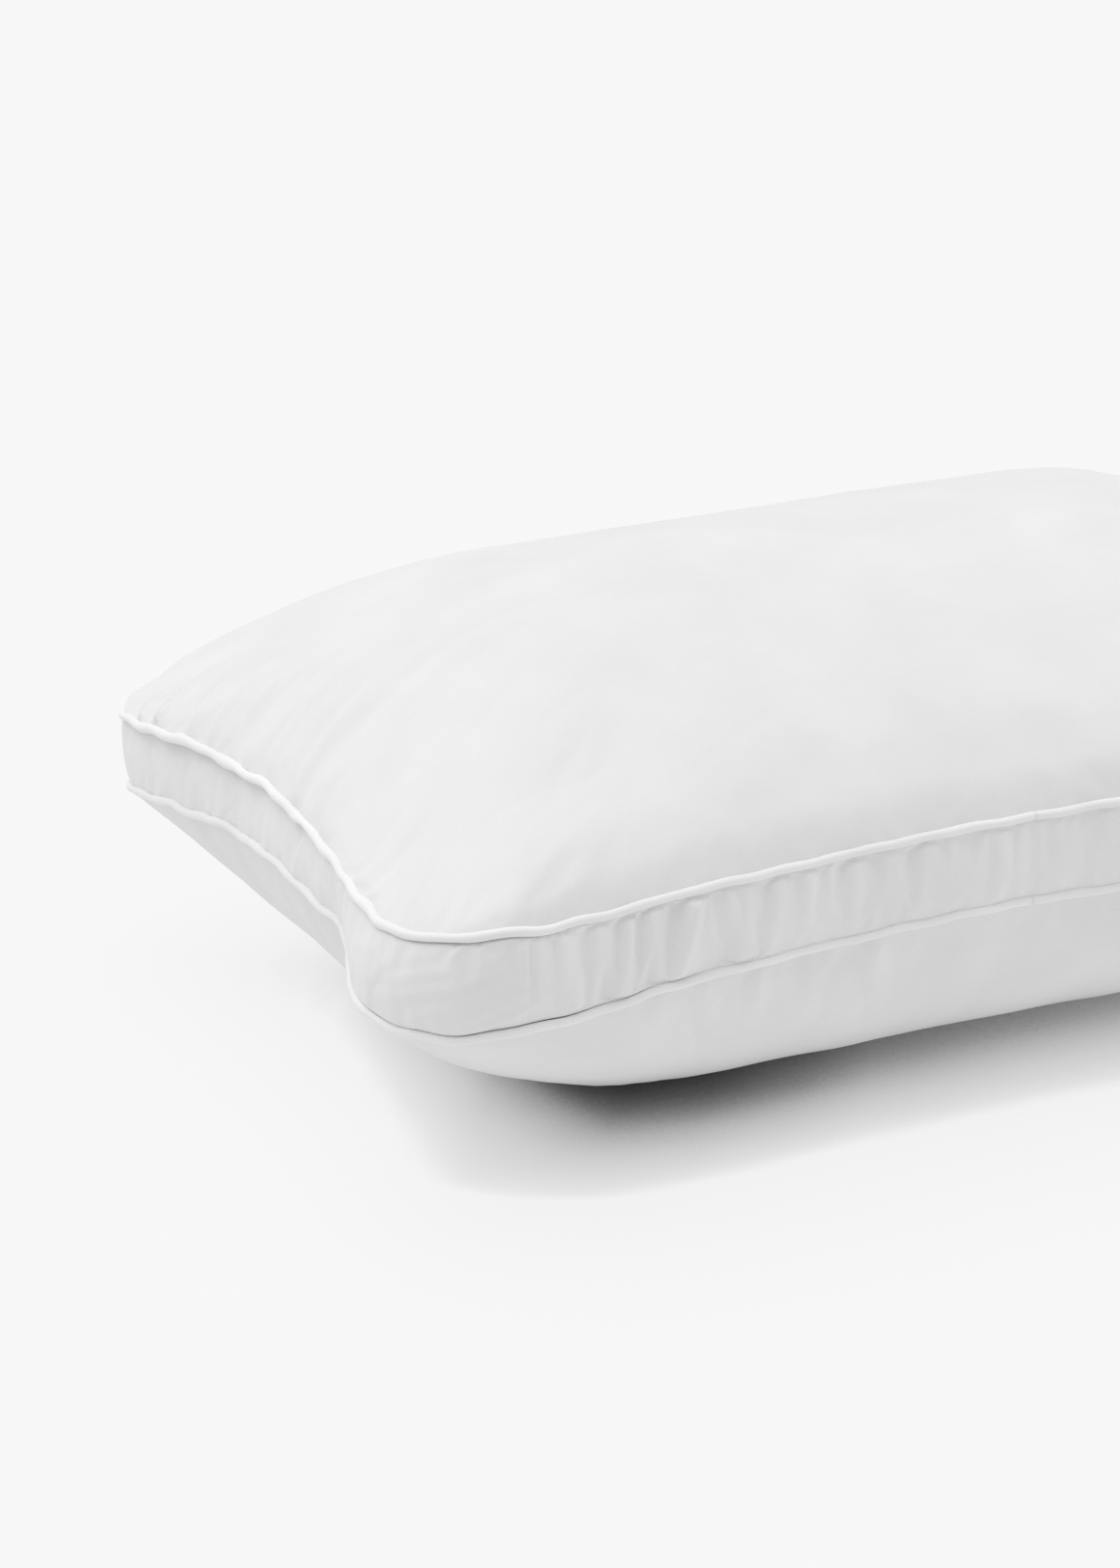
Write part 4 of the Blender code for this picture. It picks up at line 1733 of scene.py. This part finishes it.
class Skin:
    """The outer surface of a finished piece, for what is sewn or laid on it."""

    def __init__(self, piece: bpy.types.Object):
        """Keeps the piece's faces for ray casts.

        Args:
            piece: a finished mesh object.
        """
        faces = [tuple(face.vertices) for face in piece.data.polygons]
        self.tree = BVHTree.FromPolygons(read_points(piece.data).tolist(), faces)

    def reach(self, points: np.ndarray, out: np.ndarray, start: float = 40 * MM) -> np.ndarray:
        """Finds how far out the surface stands from each point.

        Args:
            points: the points, one row of XYZ each.
            out: each point's outward direction.
            start: how far out the look inward begins.

        Returns:
            One distance for each point, 0 where nothing was met.
        """
        made = np.zeros(len(points))
        for index, (point, way) in enumerate(zip(points, out)):
            hit = self.tree.ray_cast(Vector(point + way * start), Vector(-way))
            if hit[0] is not None:
                made[index] = start - hit[3]
        return made


@dataclass
class CareLabel:
    """A blank woven label, folded once, hanging from the top seam of the rear strip."""

    form: PillowForm
    skin: Skin
    thickness: float = 0.35 * MM
    columns: int = 26
    rows: int = 34
    below_seam: float = 3 * MM
    foot_room: float = 2 * MM
    curl: float = 0.9 * MM
    gap: float = 1.0 * MM
    clear: float = 0.7 * MM
    ripple: float = 0.3 * MM
    ripple_turn: float = 2.2 * math.pi

    def __post_init__(self) -> None:
        """Takes the label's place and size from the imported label."""
        low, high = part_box("care_label")
        seam = self.form.seams[Side.TOP]
        self.width = high.x - low.x
        middle = seam.nearest(((low.x + high.x) / 2, high.y))
        s = middle + np.linspace(-self.width / 2, self.width / 2, self.columns)
        self.out = seam.outward(s)
        self.line = seam.line(s)
        self.drop = self.line[:, 2].mean() - low.z - self.foot_room
        self.flat = (self.width, 2 * self.drop)

    def row(self, t: float, lift: float) -> np.ndarray:
        """Lays one row of the tape.

        Args:
            t: how far down the row is, from 0 at the seam to 1 at the fold.
            lift: how far the leg lies off the one beneath it.

        Returns:
            The row's points.
        """
        row = self.line - UP * (self.below_seam + self.drop * t)
        push = self.skin.reach(row, self.out).max() + self.clear + self.curl * t * t
        push += lift * (0.35 + 0.65 * math.sin(math.pi * t * 0.9))
        ripple = self.ripple * t * np.sin(np.linspace(0, self.ripple_turn, self.columns))
        return row + self.out * (push + ripple)[:, None]

    def build(self) -> bpy.types.Object:
        """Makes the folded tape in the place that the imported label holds.

        Returns:
            The finished label.
        """
        hang = np.linspace(0, 1, self.rows)
        legs = ([self.row(t, 0.0) for t in hang] + [self.row(t, self.gap) for t in hang[::-1]])
        faces = rows_to_quads(len(legs), self.columns, False)
        piece = mesh_object("blank_care_label", np.concatenate(legs), faces)
        across = np.linspace(0, self.width, self.columns)
        down = np.linspace(0, 2 * self.drop, len(legs))
        write_weave(piece.data, np.stack(np.meshgrid(across, down), 2).reshape(-1, 2))
        thicken(piece, self.thickness)
        return piece


@dataclass
class FibreFill:
    """The polyester filling: one closed, softly lumpy body just inside the casing."""

    form: PillowForm
    inset: float = 3.2 * MM
    stations: int = 240
    lump: float = 0.6 * MM
    lump_turns: tuple[float, float, float] = (90, 80, 60)
    weld: float = 0.05 * MM

    def half(self, side: Side, s: np.ndarray) -> np.ndarray:
        """Draws one panel's form in from the cloth.

        Args:
            side: which half.
            s: lengths along the top seam.

        Returns:
            Rows by stations by XYZ, from the spine to the seam.
        """
        shares = np.concatenate([np.linspace(0.0, 0.8, 22), np.linspace(0.83, 0.975, 10)])
        seam = self.form.seams[side]
        place = s * seam.length / self.form.seams[Side.TOP].length
        drawn_in = np.linspace(0, 1, len(shares))[:, None, None] ** 3
        rows = self.form.rows(side, place, shares)
        rows = rows - seam.outward(place)[None] * drawn_in * self.inset
        rows[:, :, 2] -= side.value * self.inset
        return rows

    def build(self) -> bpy.types.Object:
        """Makes the filling from the casing's own form, drawn in all round.

        Returns:
            The closed filling.
        """
        s = np.arange(self.stations) * (self.form.seams[Side.TOP].length / self.stations)
        rows = np.concatenate([self.half(Side.BOTTOM, s), self.half(Side.TOP, s)[::-1]])
        faces = rows_to_quads(len(rows), self.stations, True)
        piece = mesh_object("polyester_fill", rows.reshape(-1, 3), faces)
        work = bmesh.new()
        work.from_mesh(piece.data)
        bmesh.ops.remove_doubles(work, verts=work.verts, dist=self.weld)
        bmesh.ops.holes_fill(work, edges=[edge for edge in work.edges if edge.is_boundary],
                             sides=0)
        bmesh.ops.recalc_face_normals(work, faces=work.faces)
        turns = self.lump_turns
        for vertex in work.verts:
            x, y, z = vertex.co
            grain = math.sin(x * turns[0]) * math.sin(y * turns[1] + z * turns[2])
            vertex.co -= vertex.normal * self.lump * (0.5 + 0.5 * grain)
        work.to_mesh(piece.data)
        work.free()
        piece.data.shade_smooth()
        return piece


# --------------------------------------------------------------------------------- studio


@dataclass(frozen=True)
class Softbox:
    """A square studio light that faces the pillow."""

    place: tuple[float, float, float]
    breadth: float
    watts: float


@dataclass
class Studio:
    """A glowing white paper floor with a painted contact shadow, an even soft sky, one broad light
    overhead and two softboxes.
    """

    azimuth: float = 24.6
    elevation: float = 22.02
    distance: float = 3.008
    target: tuple[float, float, float] = (-0.166, 0.0, 0.1407)
    sensor_mm: float = 36.0
    lens_mm: float = 132.7015
    sky: float = 0.60
    sun: float = 1.68
    sun_breadth: float = 70.0
    sun_lean: tuple[float, float] = (-12.0, -11.0)
    softboxes: tuple[Softbox, ...] = (Softbox((-1.8, 0.6, 0.5), 1.8, 2.4),
                                      Softbox((1.9, -0.75, 0.45), 0.9, 6.0))
    floor_half: float = 12.0
    paper: SweepPaper = SweepPaper()

    def build(self) -> None:
        """Sets up the camera, the lights and the floor."""
        scene = bpy.context.scene
        scene.view_settings.view_transform = "Standard"
        scene.view_settings.look = "None"
        self.place_camera()
        self.place_lights()
        corners = np.array([(x, y, 0) for x, y in ((-1, -1), (1, -1), (1, 1), (-1, 1))])
        floor = mesh_object("paper_floor", corners * self.floor_half, [(0, 1, 2, 3)])
        # The paper's glow carries the painted contact shadow round the pillow.
        floor.data.materials.append(self.paper.build())

    def place_lights(self) -> None:
        """Sets the sky, the broad light overhead and the softboxes."""
        world = bpy.data.worlds.new("soft sky")
        world.use_nodes = True
        background = world.node_tree.nodes["Background"]
        background.inputs["Color"].default_value = (1, 1, 1, 1)
        background.inputs["Strength"].default_value = self.sky
        bpy.context.scene.world = world
        lamp = bpy.data.lights.new("overhead", "SUN")
        lamp.energy = self.sun
        lamp.angle = math.radians(self.sun_breadth)
        tip, tilt = (math.radians(angle) for angle in self.sun_lean)
        new_object("overhead", lamp).rotation_euler = (tip, tilt, 0)
        for box in self.softboxes:
            lamp = bpy.data.lights.new("softbox", "AREA")
            lamp.energy = box.watts
            lamp.size = box.breadth
            light = new_object("softbox", lamp)
            light.location = box.place
            aim = Vector(self.target) - light.location
            light.rotation_euler = aim.to_track_quat("-Z", "Y").to_euler()

    def place_camera(self) -> None:
        """Puts the camera in front of the near left corner, looking slightly down."""
        turn, tip = math.radians(self.azimuth), math.radians(self.elevation)
        forward = Vector((math.sin(turn) * math.cos(tip), math.cos(turn) * math.cos(tip),
                          -math.sin(tip)))
        lens = bpy.data.cameras.new("camera")
        lens.sensor_width = self.sensor_mm
        lens.lens = self.lens_mm
        lens.clip_end = 100.0
        camera = new_object("camera", lens)
        camera.location = Vector(self.target) - forward * self.distance
        camera.rotation_euler = forward.to_track_quat("-Z", "Y").to_euler()
        bpy.context.scene.camera = camera


# ------------------------------------------------------------------------------- assembly


SEAM_WAVES = {
    Side.TOP: (Wave((-0.333, 0.112), 0.012, 0.8 * MM, 1.2 * MM),
               Wave((-0.328, 0.070), 0.014, -0.6 * MM, -1.3 * MM),
               Wave((-0.324, -0.018), 0.010, -1.5 * MM, -1.6 * MM),
               Wave((-0.325, -0.040), 0.010, 1.0 * MM, 0.8 * MM),
               Wave((-0.314, -0.218), 0.030, 0.0, 4.5 * MM)),
    Side.BOTTOM: (Wave((-0.328, 0.070), 0.020, 0.8 * MM, 0.8 * MM),
                  Wave((-0.324, 0.020), 0.010, 0.6 * MM, 0.6 * MM),
                  Wave((-0.333, -0.082), 0.026, -5.0 * MM, 3.0 * MM),
                  Wave((-0.343, -0.155), 0.024, 7.0 * MM, 0.0),
                  Wave((-0.336, 0.195), 0.030, -5.0 * MM, 0.0),
                  Wave((-0.312, -0.219), 0.034, 0.0, 4.5 * MM))}
PIPING_LUMPS = {
    Side.TOP: (Lump((-0.333, 0.112), 0.010, 0.30), Lump((-0.328, 0.065), 0.010, 0.22),
               Lump((-0.324, -0.018), 0.007, 0.25), Lump((-0.337, -0.130), 0.014, 0.18)),
    Side.BOTTOM: ()}
PIPING_JOIN = {Side.TOP: None, Side.BOTTOM: (-0.324, 0.022)}
PANEL_FOLDS = {
    Side.TOP: folds_in_mm((-338, 160, 2.6, 4.4, 46, -0.75), (-336, 140, 2.8, 4.6, 60, -0.70),
                          (-331, 105, 1.2, 3.6, 60, -0.60), (-329, 85, 1.2, 3.6, 65, -0.55),
                          (-327, 62, 1.0, 3.4, 60, -0.50), (-326, 45, 1.1, 3.6, 50, -0.40),
                          (-325, 20, 1.2, 3.6, 60, -0.35), (-324, -15, 1.6, 4.0, 50, -0.30),
                          (-328, -60, 0.9, 5.0, 35, -0.1), (-336, -125, 1.5, 4.0, 14, 0.5),
                          (-338, -145, 1.7, 4.0, 16, 0.5)),
    Side.BOTTOM: folds_in_mm((-215, -220, 1.2, 5.0, 20, 0.1), (-190, -220, 1.8, 5.0, 34, 0.2),
                             (-160, -220, 1.4, 5.0, 28, 0.2), (-129, -220, 1.5, 5.0, 28, 0.3),
                             (-93, -220, 2.4, 6.0, 38, 0.35))}
GUSSET_FOLDS = {
    Side.TOP: folds_in_mm(
        (-290, -228, 1.3, 3.0, 14, 0.0, 0.5), (-283, -228, 1.3, 2.6, 18, 0.0, 0.6),
        (-270, -227, 1.5, 3.2, 22, 0.0, 0.6), (-250, -226, 1.5, 3.4, 24, -0.05, 0.6),
        (-232, -225, 2.4, 3.8, 40, -0.12, 0.9), (-219, -224, 2.4, 3.4, 36, -0.15, 0.9),
        (-196, -222, 4.2, 5.0, 60, -0.25, 1.2), (-176, -220, 1.4, 4.0, 16, 0.0, 0.4),
        (-148, -217, 2.0, 4.4, 30, -0.15, 0.6), (-131, -215, 2.2, 4.4, 26, -0.1, 0.7),
        (-104, -213, 1.8, 5.0, 34, -0.1, 0.6), (-66, -211, 1.5, 4.4, 30, 0.0, 0.5),
        (-20, -210, 1.0, 5.0, 24, 0.0, 0.3), (-318, -216, 1.0, 2.6, 7, -0.5, 0.5),
        (-310, -222, 0.7, 4.0, 12, 0.5, 0.3)),
    Side.BOTTOM: folds_in_mm(
        (-262, -224, 1.0, 4.0, 14, 0.0, 0.3), (-240, -225, 1.4, 4.0, 16, 0.0, 0.4),
        (-215, -224, 2.0, 5.0, 26, 0.0, 0.6), (-170, -219, 1.2, 5.0, 16, 0.0, 0.4))}


@dataclass
class Pillow:
    """The whole pillow, in the order that a maker sews it."""

    cotton: WovenCloth = WovenCloth("bleached cotton percale", "E4E4E4", "DCDCDC")
    # The same percale as the panels, coloured lighter for the upright gusset, which gets less of
    # the overhead light: painted light.
    gusset_cotton: WovenCloth = WovenCloth("bleached cotton percale gusset", "E7E7E7", "DFDFDF")
    # Coloured lighter than the panels' cotton so that the piping reads bright: a painted highlight
    # on the piping.
    tape: WovenCloth = WovenCloth("bias cut cotton tape", "EDEDED", "E5E5E5", thread_mm=0.8,
                                  relief_mm=0.03, crinkle_mm=0.12, crinkle_size_mm=4.0, bias=True)
    label_tape: WovenCloth = WovenCloth("woven label satin", "F2F2F0", "EAEAE7", thread_mm=0.7,
                                        roughness=0.6, sheen=0.3)
    cord: TwistedYarn = TwistedYarn("plied cotton cord", "EFEDE8", "D9D6CF", ply_mm=1.2)
    thread: TwistedYarn = TwistedYarn("spun sewing thread", "F0F0EF", "DADAD8", ply_mm=0.4)
    fibre: SpunFibre = SpunFibre("hollow polyester fibre", "F4F4F2", "DCDCDA")
    fill_firmness: float = 0.7
    seam_stitch_inset: float = 3.5 * MM
    seam_stitch_lift: float = 2.6 * MM
    closing_drop: float = 5.0 * MM
    closing_pitch: float = 5.0 * MM
    closing_clear: float = 0.1 * MM

    def build(self) -> None:
        """Builds and dresses every piece."""
        form = PillowForm({side: SeamLine(side, SEAM_WAVES[side]) for side in Side})
        thread = self.thread.build()
        fill = FibreFill(form).build()
        dress(fill, self.fibre.build(), ["fibre_fill"])
        self.build_panels(form)
        rear = Skin(self.build_gusset(form))
        self.build_piping(form, thread)
        self.build_joins(thread)
        self.build_closing(form, thread, rear)
        label = CareLabel(form, rear)
        piece = label.build()
        dress(piece, self.label_tape.build(), ["care_label"])

    def build_panels(self, form: PillowForm) -> None:
        """Builds the two crowned panels.

        Args:
            form: the casing's form.
        """
        percale = self.cotton.build()
        for side in Side:
            panel = PillowPanel(form, side, PANEL_FOLDS[side])
            piece = panel.build()
            dress(piece, percale, [f"{side.label}_panel"])

    def build_gusset(self, form: PillowForm) -> bpy.types.Object:
        """Builds the two gusset strips.

        Args:
            form: the casing's form.

        Returns:
            The rear strip.
        """
        percale = self.gusset_cotton.build()
        ends = {}
        for hand in ("left", "right"):
            low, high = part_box(f"gusset_join_thread_{hand}")
            ends[hand] = form.seams[Side.TOP].nearest(((low.x + high.x) / 2, high.y))
        for name, start, end in (("gusset_front", ends["left"], ends["right"]),
                                 ("gusset_back", ends["right"], ends["left"])):
            strip = GussetStrip(form, name, start, end, GUSSET_FOLDS)
            piece = strip.build()
            dress(piece, percale, [name])
        return piece

    def build_piping(self, form: PillowForm, thread: bpy.types.Material) -> None:
        """Builds the tape, the cord and the seam stitches of both piped edges.

        Args:
            form: the casing's form.
            thread: the sewing thread's finish.
        """
        tape, cord = self.tape.build(), self.cord.build()
        for side in Side:
            seam = form.seams[side]
            piping = Piping(seam, PIPING_LUMPS[side], PIPING_JOIN[side])
            cover = piping.build_cover(tape)
            dress(cover, tape, [f"{side.label}_piping_cover"])
            f"{side.label}_panel_cloth"
            dress(piping.build_cord(cord), cord, [f"{side.label}_piping_cord"])
            line = seam.line(piping.s) - seam.outward(piping.s) * self.seam_stitch_inset
            line = line + UP * side.value * self.seam_stitch_lift
            stitches = StitchLine(f"{side.label}_seam_stitches", line, True).build(thread)
            dress(stitches, thread, [f"{side.label}_seam_thread"])

    def build_joins(self, thread: bpy.types.Material) -> None:
        """Builds the stitches of the two upright joins of the gusset.

        Args:
            thread: the sewing thread's finish.
        """
        for hand in ("left", "right"):
            node = f"gusset_join_thread_{hand}"
            low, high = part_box(node)
            foot = np.array([(low.x + high.x) / 2, low.y, low.z])
            line = foot + UP * (high.z - low.z) * np.linspace(0, 1, 30)[:, None]
            stitches = StitchLine(f"gusset_join_stitches_{hand}", line, False).build(thread)
            dress(stitches, thread, [node])

    def build_closing(self, form: PillowForm, thread: bpy.types.Material, rear: Skin) -> None:
        """Builds the stitches that close the casing, on the rear strip under the top seam.

        Args:
            form: the casing's form.
            thread: the sewing thread's finish.
            rear: the rear gusset strip's surface.
        """
        low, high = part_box("closing_thread")
        seam = form.seams[Side.TOP]
        s = np.linspace(seam.nearest((high.x, high.y)), seam.nearest((low.x, high.y)), 160)
        out = seam.outward(s)
        line = seam.line(s) - UP * self.closing_drop
        line = line + out * (rear.reach(line, out) + self.closing_clear)[:, None]
        closing = StitchLine("closing_stitches", line, False, self.closing_pitch).build(thread)
        dress(closing, thread, ["closing_thread"])


def main() -> None:
    """Builds the studio and the pillow."""
    logging.basicConfig(level=logging.INFO, format="%(name)s: %(message)s")
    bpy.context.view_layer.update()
    Studio().build()
    Pillow().build()


if __name__ == "__main__":
    main()
